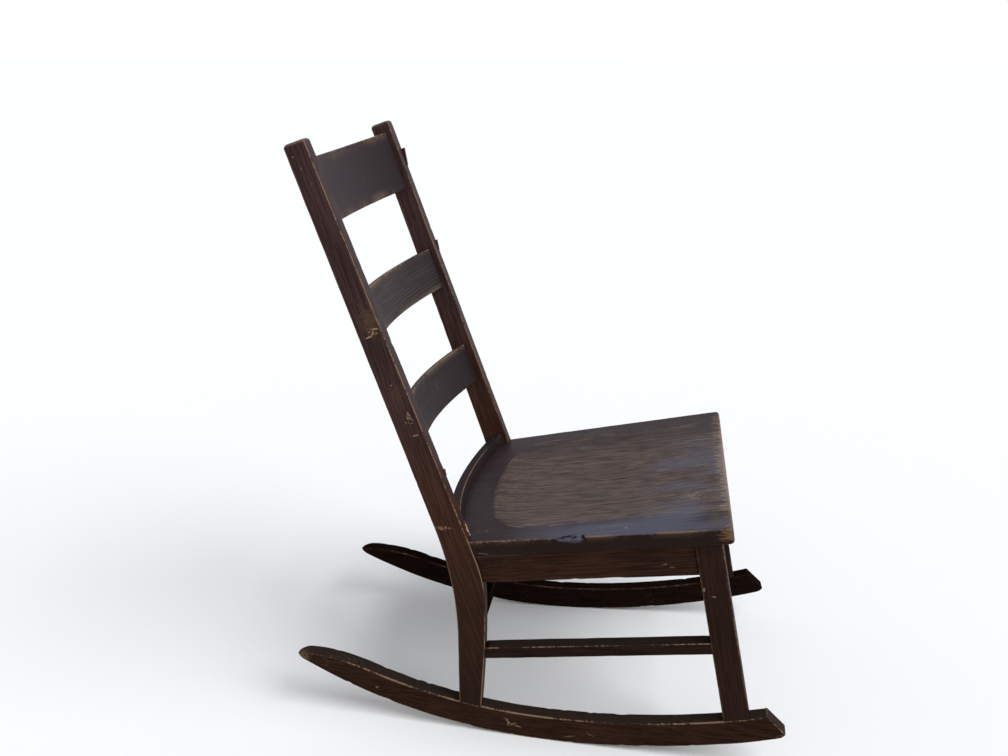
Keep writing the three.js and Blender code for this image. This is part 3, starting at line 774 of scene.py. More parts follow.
class GroupDraft(NodeBench):
    """A shader node group while it is being made."""

    def __init__(self, name: str, inputs: dict[str, object], outputs: Sequence[str]) -> None:
        """Starts the group.

        Args:
            name: The group's name.
            inputs: Usual value of each input, a tuple for a vector.
            outputs: Names of its outputs, all plain numbers.
        """
        super().__init__(bpy.data.node_groups.new(name, "ShaderNodeTree"))
        shared = self.tree.interface
        for label, value in inputs.items():
            kind = "NodeSocketVector" if isinstance(value, tuple) else "NodeSocketFloat"
            shared.new_socket(name=label, in_out="INPUT", socket_type=kind).default_value = value
        for label in outputs:
            shared.new_socket(name=label, in_out="OUTPUT", socket_type="NodeSocketFloat")
        self.given = self.add("NodeGroupInput").outputs

    def put(self, **values: Socket) -> Tree:
        """Links the outputs by name and gives the finished group."""
        self.add("NodeGroupOutput", values)
        return self.tree


def oak_grain_group() -> Tree:
    """Growth rings, open pores and long streaks of a sawn oak board, with the grain along x."""
    inputs = {"Vector": (0, 0, 0), "Pith": (0, 0.02, 0.07), "Ring Width": 0.0042}
    draft = GroupDraft("Oak grain", inputs, ("Ring", "Pores", "Streak", "Fibre"))
    vector = draft.given["Vector"]
    _, across, deep = draft.parts(draft.vector("SUBTRACT", vector, draft.given["Pith"]))
    radius = draft.vector("LENGTH", draft.joined(0.0, across, deep))
    radius = draft.fused(draft.noise(vector, (1.8, 9, 9)), 0.045, radius)
    radius = draft.fused(draft.noise(vector, (12, 60, 60)), 0.004, radius)
    phase = draft.math("FRACT", draft.math("DIVIDE", radius, draft.given["Ring Width"]))
    late = draft.times(draft.ramp(phase, 0.1, 0.75), draft.ramp(phase, 1.0, 0.9))
    pores = draft.fused(late, -0.1, draft.plus(draft.noise(vector, (24, 1100, 1100), 1.0), 0.1))
    streak = draft.times(draft.noise(vector, (9, 420, 420), 3.0), 0.6)
    streak = draft.fused(draft.noise(vector, (30, 1100, 1100)), 0.4, streak)
    return draft.put(
        Ring=late,
        Pores=draft.ramp(pores, 0.66, 0.76),
        Streak=draft.ramp(streak, 0.38, 0.62),
        Fibre=draft.noise(vector, (90, 1500, 1500), 1.0),
    )


def arris_wear_group() -> Tree:
    """Stain rubbed off along the arrises in an uneven, broken line, with a soft band beside it."""
    inputs = {"Distance": 1.0, "Vector": (0, 0, 0), "Width": 0.001, "Band": 0.004, "Cover": 0.5}
    draft = GroupDraft("Arris wear", inputs, ("Bare", "Rubbed"))
    given = draft.given
    broad = draft.noise(given["Vector"], (13, 13, 13), 3.0)
    fine = draft.noise(given["Vector"], (240, 240, 240))
    sway = draft.fused(fine, 0.4, draft.times(broad, 0.6))
    level = draft.fused(given["Cover"], -0.42, 0.72)
    local = draft.ramp(sway, draft.less(level, 0.06), draft.plus(level, 0.1))
    reach = draft.times(given["Width"], draft.fused(local, 1.6, 0.05))
    line = draft.ramp(given["Distance"], reach, draft.times(reach, 0.4))
    band = draft.ramp(given["Distance"], given["Band"], 0.0)
    worn = draft.ramp(draft.fused(fine, 0.3, draft.times(broad, 0.7)), 0.42, 0.6)
    return draft.put(Bare=draft.times(line, local), Rubbed=draft.times(band, worn))


def knocks_group() -> Tree:
    """Small pale specks and short scratches that come in clusters."""
    draft = GroupDraft("Knocks", {"Vector": (0, 0, 0), "Amount": 0.5}, ("Specks", "Scratches"))
    vector = draft.given["Vector"]
    level = draft.fused(draft.given["Amount"], -0.25, 0.72)
    where = draft.ramp(draft.noise(vector, (11, 19, 19)), level, draft.plus(level, 0.12))
    dots = draft.noise(vector, (300, 400, 400), 1.0)
    first = draft.noise(draft.turned(vector, (0.5, 0.4, 0.9)), (26, 560, 560), 0.0)
    second = draft.noise(draft.turned(vector, (-0.3, 0.8, -0.25)), (560, 30, 560), 0.0)
    lines = draft.math("MAXIMUM", draft.ramp(first, 0.72, 0.8), draft.ramp(second, 0.74, 0.82))
    specks = draft.times(draft.ramp(dots, 0.67, 0.74), where)
    return draft.put(Specks=specks, Scratches=draft.times(lines, where))


def placed_mark_group() -> Tree:
    """One ragged mark at a chosen place, such as a scuff or a nick."""
    inputs = {"Vector": (0, 0, 0), "Centre": (0, 0, 0), "Reach": (0.01, 0.01, 0.01), "Turn": (0, 0, 0)}
    inputs |= {"Raggedness": 0.8, "Fineness": 160.0, "Stretch": 1.0, "Softness": 0.25}
    draft = GroupDraft("Placed mark", inputs, ("Mark",))
    given = draft.given
    offset = {"Vector": draft.vector("SUBTRACT", given["Vector"], given["Centre"]), "Rotation": given["Turn"]}
    turned = draft.add("ShaderNodeVectorRotate", offset, rotation_type="EULER_XYZ")
    along = draft.math("DIVIDE", given["Fineness"], given["Stretch"])
    fineness = draft.joined(given["Fineness"], along, given["Fineness"])
    sway = draft.times(draft.less(draft.noise(given["Vector"], fineness, 3.0), 0.5), 4.0)
    reach = draft.vector("LENGTH", draft.vector("DIVIDE", turned.outputs[0], given["Reach"]))
    reach = draft.fused(sway, given["Raggedness"], reach)
    return draft.put(Mark=draft.ramp(reach, 1.0, draft.less(1.0, given["Softness"])))


def upward_haze_group() -> Tree:
    """The greyish bloom of old polish and dust mixed with a painted sky sheen, strongest on faces that look
    upwards.
    """
    draft = GroupDraft("Upward haze", {"Vector": (0, 0, 0), "Onset": 0.0}, ("Mask",))
    upward = draft.parts(draft.add("ShaderNodeNewGeometry").outputs["Normal"])[2]
    cloud = draft.noise(draft.given["Vector"], (24, 24, 24), 3.0)
    facing = draft.ramp(upward, draft.given["Onset"], 0.75)
    return draft.put(Mask=draft.math("MULTIPLY", facing, draft.fused(cloud, 0.8, 0.6), clamp=True))


@dataclass
class ShaderGroups:
    """The node groups that the finishes share."""

    grain: Tree = field(default_factory=oak_grain_group)
    wear: Tree = field(default_factory=arris_wear_group)
    knocks: Tree = field(default_factory=knocks_group)
    mark: Tree = field(default_factory=placed_mark_group)
    dust_and_sheen: Tree = field(default_factory=upward_haze_group)


# Finishes


@dataclass(frozen=True)
class Grain:
    """How a board was sawn from its tree.

    Args:
        along: Direction of the grain in the part's frame.
        face: Direction out of the board's broad face.
        origin: A point in the board, which also keeps two boards from looking alike.
        pith: Place of the tree's middle from that point: along, across and out of the face.
        ring_width: Thickness of a growth ring.
    """

    along: Vector
    face: Vector
    origin: Vector
    pith: Place = (0.0, 0.02, 0.07)
    ring_width: float = 0.0042

    def mapping(self) -> tuple[Place, Place]:
        """Location and rotation of the Mapping node that turns the part's frame into the board's."""
        along = self.along.normalized()
        across = self.face.cross(along).normalized()
        turn = Matrix((along, across, along.cross(across)))
        return tuple(-(turn @ self.origin)), tuple(turn.to_euler("XYZ"))


@dataclass(frozen=True)
class Mark:
    """A mark seen at one place of the part's frame, which spreads by its reach along each axis.

    Args:
        strength: How strongly it covers the stain.
        raggedness: How broken it is.
        fineness: Swings of its outline for each metre.
        stretch: How much longer those swings are along y.
        depth: How deep it is cut.
        turn: Its turn in the side view, in degrees.
        turn_flat: Its turn in plan, in degrees.
        softness: Share of its reach over which it fades out.
    """

    centre: Sequence[float]
    reach: Place
    colour: Colour = (0.30, 0.20, 0.12)
    strength: float = 0.8
    raggedness: float = 0.8
    fineness: float = 160.0
    stretch: float = 1.0
    depth: float = 0.0
    turn: float = 0.0
    turn_flat: float = 0.0
    softness: float = 0.25

    def inputs(self) -> dict[str, object]:
        """The values that the mark's node group takes."""
        return {
            "Centre": tuple(self.centre),
            "Reach": self.reach,
            "Turn": (math.radians(self.turn), 0.0, math.radians(self.turn_flat)),
            "Raggedness": self.raggedness,
            "Fineness": self.fineness,
            "Stretch": self.stretch,
            "Softness": self.softness,
        }


@dataclass(frozen=True)
class Dressing:
    """What a finish needs to know of one piece.

    Args:
        name: Name of the piece's own material.
        grain: How its board lies.
        edge: Where the distance from its arrises is read.
        half_section: Half thickness, half height and arris radius, for a piece with stored section places.
        marks: Marks seen at certain places.
    """

    name: str
    grain: Grain
    edge: EdgeSource = EdgeSource.STORED
    half_section: Place = (0.005, 0.035, 0.0015)
    marks: Sequence[Mark] = ()


@dataclass(frozen=True)
class Spot:
    """What a stain is worked out from.

    Args:
        bench: The material's bench.
        groups: The shared node groups.
        place: The spot in the part's frame.
        wood: Outputs of the grain group.
        cloud: Broad noise over the piece.
    """

    bench: NodeBench
    groups: ShaderGroups
    place: Socket
    wood: Outputs
    cloud: Socket

    def grit(self) -> Socket:
        """Fine mottling around zero."""
        return self.bench.less(self.bench.noise(self.place, (650, 650, 650)), 0.5)


@dataclass(frozen=True)
class OakFinish:
    """Stained oak, as worn as its piece.

    Rings, streaks and grit lead the stain from its dark colour to its light one, each by its share, and
    the pores have their own colour. Dust mixed with a painted sky sheen lies on faces whose normal points
    upwards by dust_and_sheen_onset or more. Bare wood shows in a rubbed line of wear_width along a part
    of the arrises, the cover, in a soft band beside it and in knocks. Relief is the depth of the open grain.
    """

    dark: Colour
    light: Colour
    pore: Colour = (0.006, 0.004, 0.004)
    pore_share: float = 0.5
    dust_and_sheen: Colour = (0.075, 0.062, 0.070)
    dust_and_sheen_share: float = 0.35
    dust_and_sheen_onset: float = 0.15
    bare: Colour = (0.20, 0.128, 0.078)
    wear_width: float = 0.0007
    wear_cover: float = 0.5
    band_width: float = 0.003
    band_share: float = 0.15
    knock_amount: float = 0.4
    ring_share: float = 0.2
    streak_share: float = 0.7
    grit_share: float = 0.7
    roughness: float = 0.5
    relief: float = 0.0001
    specular: float = 0.04

    def dress(self, piece: Piece, groups: ShaderGroups, dressing: Dressing) -> None:
        """Gives a piece its own material of this finish.

        Args:
            piece: The piece, new or a kept CAD node's object.
            groups: The shared node groups.
            dressing: What the finish needs to know of the piece.
        """
        wear_it(piece, self.material(groups, dressing))

    def material(self, groups: ShaderGroups, dressing: Dressing) -> bpy.types.Material:
        """Makes a material of this finish.

        Args:
            groups: The shared node groups.
            dressing: What the finish needs to know of the piece.

        Returns:
            The material.
        """
        material, bench = blank_material(dressing.name)
        place = bench.add("ShaderNodeTexCoord").outputs["Object"]
        board, distance = self.board_space(bench, place, dressing)
        grain = dressing.grain
        wood = bench.group(groups.grain, Vector=board, Pith=grain.pith, Ring_Width=grain.ring_width)
        cloud = bench.noise(place, (9, 9, 9), 3.0)
        colour = self.stain(Spot(bench, groups, place, wood, cloud))
        wear = {"Distance": distance, "Vector": place, "Width": self.wear_width}
        wear = bench.group(groups.wear, **wear, Band=self.band_width, Cover=self.wear_cover)
        bare = bench.math("MULTIPLY", wear["Bare"], bench.plus(wood["Fibre"], 0.3), clamp=True)
        bare = bench.math("MAXIMUM", bare, bench.times(wear["Rubbed"], self.band_share))
        knocks = bench.group(groups.knocks, Vector=board, Amount=self.knock_amount)
        scuffs = bench.math("MAXIMUM", knocks["Specks"], bench.times(knocks["Scratches"], 0.6))
        colour = bench.blend(bare, colour, self.bare)
        colour = bench.blend(bench.times(scuffs, 0.6), colour, self.bare)
        relief = bench.fused(wood["Pores"], -1.0, bench.times(wood["Ring"], 0.2))
        relief = bench.fused(wood["Streak"], 0.4, relief)
        height = bench.times(bench.fused(scuffs, -0.8, relief), self.relief)
        for mark in dressing.marks:
            found = bench.group(groups.mark, Vector=place, **mark.inputs())["Mark"]
            colour = bench.blend(bench.times(found, mark.strength), colour, mark.colour)
            height = bench.fused(found, -mark.depth, height)
        rough = bench.fused(wood["Pores"], 0.4 * self.pore_share, bench.fused(bare, 0.2, self.roughness))
        rough = bench.fused(bench.less(cloud, 0.5), 0.3, rough, clamp=True)
        bump = bench.add("ShaderNodeBump", {"Height": height, "Distance": 1.0, "Strength": 1.0}).outputs[0]
        inputs = {"Base Color": colour, "Roughness": rough, "Normal": bump}
        inputs["Specular IOR Level"] = self.specular
        shader = bench.add("ShaderNodeBsdfPrincipled", inputs)
        bench.add("ShaderNodeOutputMaterial", {"Surface": shader.outputs[0]})
        return material

    def board_space(self, bench: NodeBench, place: Socket, dressing: Dressing) -> tuple[Socket, object]:
        """Where a spot lies in its board, and how far it is from the nearest arris.

        Args:
            bench: The material's bench.
            place: The spot in the part's frame.
            dressing: What the finish needs to know of the piece.

        Returns:
            The place in the board, and the distance.
        """
        if dressing.edge is EdgeSource.SECTION:
            stored = bench.add("ShaderNodeAttribute", attribute_name=SECTION_ATTRIBUTE).outputs["Vector"]
            _, tall, deep = bench.parts(stored)
            half_thickness, half_height, radius = dressing.half_section
            from_face = bench.less(half_thickness, bench.math("ABSOLUTE", deep))
            from_top = bench.less(half_height, bench.math("ABSOLUTE", tall))
            rounded = (1 - math.sqrt(0.5)) * radius
            distance = bench.less(bench.math("MAXIMUM", from_face, from_top), rounded)
            return bench.vector("SUBTRACT", stored, tuple(dressing.grain.origin)), distance
        location, rotation = dressing.grain.mapping()
        board = bench.turned(place, rotation, location)
        if dressing.edge is EdgeSource.STORED:
            return board, bench.add("ShaderNodeAttribute", attribute_name=EDGE_ATTRIBUTE).outputs["Fac"]
        return board, EDGE_LIMIT

    def stain(self, spot: Spot) -> Socket:
        """The stained colour before any wear.

        Args:
            spot: What it is worked out from.

        Returns:
            The colour.
        """
        bench, wood = spot.bench, spot.wood
        tone = bench.fused(wood["Ring"], self.ring_share, bench.times(wood["Streak"], self.streak_share))
        tone = bench.fused(bench.less(spot.cloud, 0.5), 0.8, tone)
        tone = bench.fused(spot.grit(), self.grit_share, tone, clamp=True)
        # Dust and a painted sky sheen on the faces that look upwards
        dust_and_sheen = bench.group(spot.groups.dust_and_sheen, Vector=spot.place, Onset=self.dust_and_sheen_onset)["Mask"]
        colour = bench.blend(tone, self.dark, self.light)
        colour = bench.blend(bench.times(dust_and_sheen, self.dust_and_sheen_share), colour, self.dust_and_sheen)
        return bench.blend(bench.times(wood["Pores"], self.pore_share), colour, self.pore)


@dataclass(frozen=True)
class PostFinish(OakFinish):
    """The posts' oak, whose stain is cold and dark at the top and a warmer brown lower down.

    Below warm_top the grain leans to the warm colours, most strongly at warm_bottom, and the post
    darkens in the same way from foot_top down to foot_bottom.
    """

    warm_dark: Colour = (0.020, 0.0078, 0.0038)
    warm: Colour = (0.050, 0.0190, 0.0088)
    warm_share: float = 0.6
    warm_top: float = 0.72
    warm_bottom: float = 0.42
    foot: Colour = (0.0070, 0.0027, 0.0015)
    foot_share: float = 0.8
    foot_top: float = 0.55
    foot_bottom: float = 0.08

    def stain(self, spot: Spot) -> Socket:
        """The stained colour before any wear, warmer towards the foot.

        Args:
            spot: What it is worked out from.

        Returns:
            The colour.
        """
        bench = spot.bench
        cold = super().stain(spot)
        height = bench.fused(spot.cloud, 0.2, bench.parts(spot.place)[2])
        lean = bench.times(bench.ramp(height, self.warm_top, self.warm_bottom), self.warm_share)
        tone = bench.fused(spot.grit(), self.grit_share, spot.wood["Streak"])
        warm = bench.blend(tone, self.warm_dark, self.warm)
        darkening = bench.times(bench.ramp(height, self.foot_top, self.foot_bottom), self.foot_share)
        return bench.blend(darkening, bench.blend(lean, cold, warm), self.foot)


@dataclass(frozen=True)
class SlatFinish(OakFinish):
    """The slats' oak, with painted shade towards the left post, from one place across the chair to another.
    """

    painted_left_shade: float = 0.35
    shade_start: float = 0.02
    shade_end: float = 0.17

    def stain(self, spot: Spot) -> Socket:
        """The stained colour before any wear, with painted shade darker towards the left.

        Args:
            spot: What it is worked out from.

        Returns:
            The colour.
        """
        bench = spot.bench
        plain = super().stain(spot)
        # Painted shade: the slats darken towards the left post, blended to the pore colour
        across = bench.parts(spot.place)[0]
        shade = bench.times(bench.ramp(across, self.shade_start, self.shade_end), self.painted_left_shade)
        return bench.blend(shade, plain, self.pore)


@dataclass(frozen=True)
class SeatFinish(OakFinish):
    """The seat's oak: a rubbed brown scoop in a darker margin, with a slate bloom and painted sky sheen to
    the right front.

    Args:
        edge: Colour of the upright edges, a painted shade that also covers the underside.
        margin_dark: Colour of the margin's dark parts.
        margin_light: Colour of its light parts.
        slate: Colour of the bloom and its painted sky sheen.
        thread: Colour of the thin pale lines along the grain.
        rim_width: Width of the rubbed line along the scoop's rim, as a share of the scoop.
    """

    edge: Colour = (0.0090, 0.0028, 0.0016)
    margin_dark: Colour = (0.0215, 0.0135, 0.0155)
    margin_light: Colour = (0.045, 0.0295, 0.0325)
    slate: Colour = (0.078, 0.080, 0.115)
    thread: Colour = (0.25, 0.17, 0.115)
    rim_width: float = 0.014

    def stain(self, spot: Spot) -> Socket:
        """The stained colour before any wear, with scoop, margin, bloom and edges told apart, and painted
        shade on the far side and the edges.

        Args:
            spot: What it is worked out from.

        Returns:
            The colour.
        """
        bench, place, streak = spot.bench, spot.place, spot.wood["Streak"]
        figure = bench.ramp(bench.noise(place, (150, 6, 150), 4.0), 0.52, 0.38)
        brown = super().stain(spot)
        brown = bench.blend(bench.times(figure, 0.6), brown, self.margin_dark)
        spread = bench.add("ShaderNodeAttribute", attribute_name=SCOOP_ATTRIBUTE).outputs["Fac"]
        sway = bench.less(spot.cloud, 0.5)
        spread = bench.fused(sway, 0.06, spread)
        tone = bench.fused(streak, 0.6, bench.plus(sway, 0.1), clamp=True)
        margin = bench.blend(tone, self.margin_dark, self.margin_light)
        across, along, _ = bench.parts(place)
        # Painted shade: the far side of the scoop, which slopes away from the light, is blended towards the
        # margin's colours
        far = bench.times(bench.ramp(across, 0.07, 0.15), 0.6)
        outside = bench.math("MAXIMUM", bench.ramp(spread, 0.95, 1.02), far)
        colour = bench.blend(outside, brown, margin)
        drift = bench.fused(bench.noise(place, (9, 4, 9), 4.0), 0.16, bench.times(streak, 0.012))
        side = bench.ramp(bench.fused(along, 0.16, bench.plus(across, drift)), -0.050, -0.098)
        ends = bench.ramp(along, 0.06, -0.08)
        ends = bench.times(ends, bench.ramp(bench.plus(along, drift), -0.165, -0.115))
        front = bench.ramp(bench.plus(across, drift), 0.25, 0.06)
        front = bench.times(front, bench.ramp(along, -0.14, -0.21))
        front = bench.times(front, bench.ramp(bench.noise(place, (13, 6, 13), 2.0), 0.40, 0.54))
        # Bloom of the old finish mixed with a painted sky sheen, along the right margin and the front
        bloom = bench.math("MAXIMUM", bench.times(bench.times(side, ends), 0.85), bench.times(front, 0.75))
        bloom = bench.times(bloom, bench.fused(streak, 0.35, 0.75))
        colour = bench.blend(bloom, colour, self.slate)
        from_rim = bench.math("ABSOLUTE", bench.less(spread, 1.0))
        flecks = bench.ramp(bench.noise(place, (45, 45, 45), 3.0), 0.46, 0.62)
        rim = bench.times(bench.ramp(from_rim, self.rim_width, 0.0), flecks)
        lines = bench.ramp(bench.noise(place, (330, 7, 5), 1.0), 0.65, 0.72)
        lines = bench.times(lines, bench.ramp(bench.noise(place, (21, 9, 21), 3.0), 0.47, 0.64))
        lines = bench.times(lines, bench.ramp(along, 0.08, 0.03))
        pale = bench.math("MAXIMUM", bench.times(rim, 0.5), bench.times(lines, 0.6))
        colour = bench.blend(pale, colour, self.thread)
        # Painted shade: faces that do not look up, the upright edges and the underside, are darkened to the
        # edge colour
        facing = bench.parts(bench.add("ShaderNodeNewGeometry").outputs["Normal"])[2]
        return bench.blend(bench.ramp(facing, 0.75, 0.45), colour, self.edge)


@dataclass(frozen=True)
class ScrewSteel:
    """Old steel of the screws: bright metal, browned by rust in patches."""

    bright: Colour = (0.20, 0.19, 0.175)
    brown: Colour = (0.06, 0.032, 0.02)
    metallic: float = 0.85

    def material(self, name: str) -> bpy.types.Material:
        """Makes the steel, rusted in patches.

        Args:
            name: The material's name.

        Returns:
            The material.
        """
        material, bench = blank_material(name)
        place = bench.add("ShaderNodeTexCoord").outputs["Object"]
        rust = bench.ramp(bench.noise(place, (420, 420, 420), 4.0), 0.42, 0.62)
        relief = bench.times(bench.noise(place, (1400, 1400, 1400), 1.0), 0.00006)
        inputs = {
            "Base Color": bench.blend(rust, self.bright, self.brown),
            "Roughness": bench.fused(rust, 0.4, 0.38),
            "Metallic": bench.fused(rust, -self.metallic, self.metallic),
            "Normal": bench.add("ShaderNodeBump", {"Height": relief, "Distance": 1.0}).outputs[0],
        }
        shader = bench.add("ShaderNodeBsdfPrincipled", inputs)
        bench.add("ShaderNodeOutputMaterial", {"Surface": shader.outputs[0]})
        return material


def blank_material(name: str) -> tuple[bpy.types.Material, NodeBench]:
    """Makes a material without nodes and the bench for it.

    Args:
        name: The material's name.

    Returns:
        The material and its bench.
    """
    material = bpy.data.materials.new(name)
    material.use_nodes = True
    material.node_tree.nodes.clear()
    return material, NodeBench(material.node_tree)


def wear_it(piece: Piece, material: bpy.types.Material) -> None:
    """Makes a material the only one of a piece."""
    piece.data.materials.clear()
    piece.data.materials.append(material)


POST_OAK = PostFinish(
    dark=(0.0175, 0.0086, 0.0084),
    light=(0.056, 0.0298, 0.0285),
    dust_and_sheen=(0.062, 0.050, 0.059),
    dust_and_sheen_share=0.55,
    dust_and_sheen_onset=0.05,
    wear_width=0.0006,
    wear_cover=0.75,
    knock_amount=0.2,
    ring_share=0.05,
    streak_share=0.65,
    warm_share=0.85,
    specular=0.05,
)
SPLINTER_OAK = replace(POST_OAK, wear_width=0.0001, band_share=0.0)
LEG_OAK = OakFinish(
    dark=(0.0108, 0.0043, 0.0028),
    light=(0.0275, 0.0115, 0.0074),
    wear_width=0.0005,
    dust_and_sheen_share=0.1,
    knock_amount=0.1,
    streak_share=0.6,
)
ROCKER_OAK = OakFinish(
    dark=(0.0096, 0.0038, 0.0024),
    light=(0.0340, 0.0152, 0.0093),
    dust_and_sheen=(0.026, 0.0195, 0.017),
    dust_and_sheen_share=0.6,
    dust_and_sheen_onset=0.0,
    wear_width=0.0011,
    wear_cover=0.65,
    knock_amount=0.6,
    specular=0.015,
)
# Painted shade: the left rocker's oak is a darkened copy of the right one's, with no dust and sheen, as if in
# the seat's shadow
SHADED_LEFT_ROCKER_OAK = replace(
    ROCKER_OAK,
    dark=(0.0045, 0.0021, 0.0017),
    light=(0.0125, 0.0066, 0.0050),
    dust_and_sheen_share=0.0,
    wear_width=0.0007,
    wear_cover=0.4,
    specular=0.0,
)
RAIL_OAK = OakFinish(dark=(0.0090, 0.0033, 0.0019), light=(0.034, 0.0136, 0.0076), wear_cover=0.15)
STRETCHER_OAK = OakFinish(
    dark=(0.0060, 0.0024, 0.0016),
    light=(0.018, 0.0080, 0.0052),
    dust_and_sheen=(0.021, 0.014, 0.012),
    dust_and_sheen_share=0.6,
    dust_and_sheen_onset=0.0,
    wear_cover=0.65,
)
# Painted shade: both cross stretchers take the stretchers' oak without its dust and sheen, so they read as
# shaded by the seat
SHADED_CROSS_STRETCHER_OAK = replace(STRETCHER_OAK, dust_and_sheen_share=0.0, wear_cover=0.2, specular=0.0)
SLAT_OAK = SlatFinish(
    dark=(0.0185, 0.0128, 0.0150),
    light=(0.037, 0.0270, 0.0315),
    pore_share=0.15,
    dust_and_sheen=(0.030, 0.022, 0.027),
    dust_and_sheen_share=0.5,
    wear_width=0.0008,
    wear_cover=0.6,
    band_width=0.010,
    band_share=0.28,
    relief=0.00003,
    streak_share=0.5,
    specular=0.09,
)
SLAT_FINISHES = {
    "crest_slat": replace(
        SLAT_OAK,
        dark=(0.0243, 0.0158, 0.0190),
        pore_share=0.0,
        band_width=0.017,
        band_share=0.38,
        ring_share=0.03,
        streak_share=0.16,
        grit_share=1.5,
        relief=0.00001,
    ),
    "middle_slat": replace(
        SLAT_OAK, dark=(0.017, 0.0105, 0.0108), light=(0.052, 0.0385, 0.0400), ring_share=0.5, relief=0.0001
    ),
    "lower_slat": replace(
        SLAT_OAK, dark=(0.0135, 0.0085, 0.0098), light=(0.031, 0.0215, 0.0250), ring_share=0.3
    ),
    "back_rail": replace(
        SLAT_OAK,
        dark=(0.0125, 0.0078, 0.0080),
        light=(0.028, 0.0185, 0.0195),
        wear_width=0.0005,
        band_width=0.003,
        band_share=0.1,
        specular=0.01,
    ),
}
SEAT_OAK = SeatFinish(
    dark=(0.032, 0.0178, 0.0142),
    light=(0.130, 0.0845, 0.0700),
    pore_share=0.7,
    dust_and_sheen_share=0.1,
    bare=(0.172, 0.106, 0.064),
    wear_width=0.0007,
    wear_cover=0.6,
    band_width=0.005,
    band_share=0.3,
    ring_share=0.35,
    streak_share=0.75,
    grit_share=0.9,
    relief=0.00015,
    specular=0.1,
)
BLOCK_OAK = OakFinish(
    dark=(0.16, 0.095, 0.05),
    light=(0.34, 0.22, 0.13),
    pore=(0.06, 0.035, 0.02),
    dust_and_sheen_share=0.0,
    knock_amount=0.2,
    roughness=0.75,
)

# Wear that several sticks share, and how deep a mark reaches into its face

RAIL_WEAR = StickShape(radius=0.0018, dents=6, seed=7.0)
STRETCHER_WEAR = StickShape(radius=0.0017, dents=8, dent_radius=0.0035, seed=10.0)
SPLINTER_WEAR = StickShape(radius=0.0006, dents=0, end_rounding=0.0008, seed=14.0)
MARK_DEPTH = 0.006


# Pieces of the frame


class SawnPiece:
    """A sawn stick of the frame, whose kind names it, draws its sections and tells its board and wear."""

    node: str
    oak: str
    finish: OakFinish
    wear: StickShape

    def stations(self) -> list[Station]:
        """Its sections in order."""
        raise NotImplementedError

    def grain(self) -> Grain:
        """How its board was sawn."""
        raise NotImplementedError

    def marks(self) -> Sequence[Mark]:
        """The marks seen at certain places on it, none on most pieces."""
        return ()

    def build(self) -> Piece:
        """Makes the piece and puts it in place of its CAD node."""
        made = StickMaker(self.wear).build(f"worn_{self.node}", self.stations())
        return settle(made, [self.node], Slot.FRAME)

    def dress(self, piece: Piece, groups: ShaderGroups) -> None:
        """Gives the piece a material of its own."""
        self.finish.dress(piece, groups, Dressing(self.oak, self.grain(), marks=self.marks()))


@dataclass
class SidedPiece(SawnPiece):
    """A sawn piece that each side of the chair has."""

    side: Side
    NAME: ClassVar[str]
    OAK: ClassVar[str]
    WEAR: ClassVar[StickShape]

    def __post_init__(self) -> None:
        """Names the piece and its oak, and lets the left one wear in its own way."""
        self.node = f"{self.NAME}_{self.side.word}"
        self.oak = f"{self.OAK}_{self.side.word}"
        self.wear = replace(self.WEAR, seed=self.WEAR.seed + (self.side is Side.LEFT))

    def outside(self, y: float, z: float) -> Vector:
        """A place on the outer face of the rocker's plane, in the part's frame."""
        return in_part(PLAN.base_frame(self.side), (self.side.value * PLAN.rocker_thickness / 2, y, z))


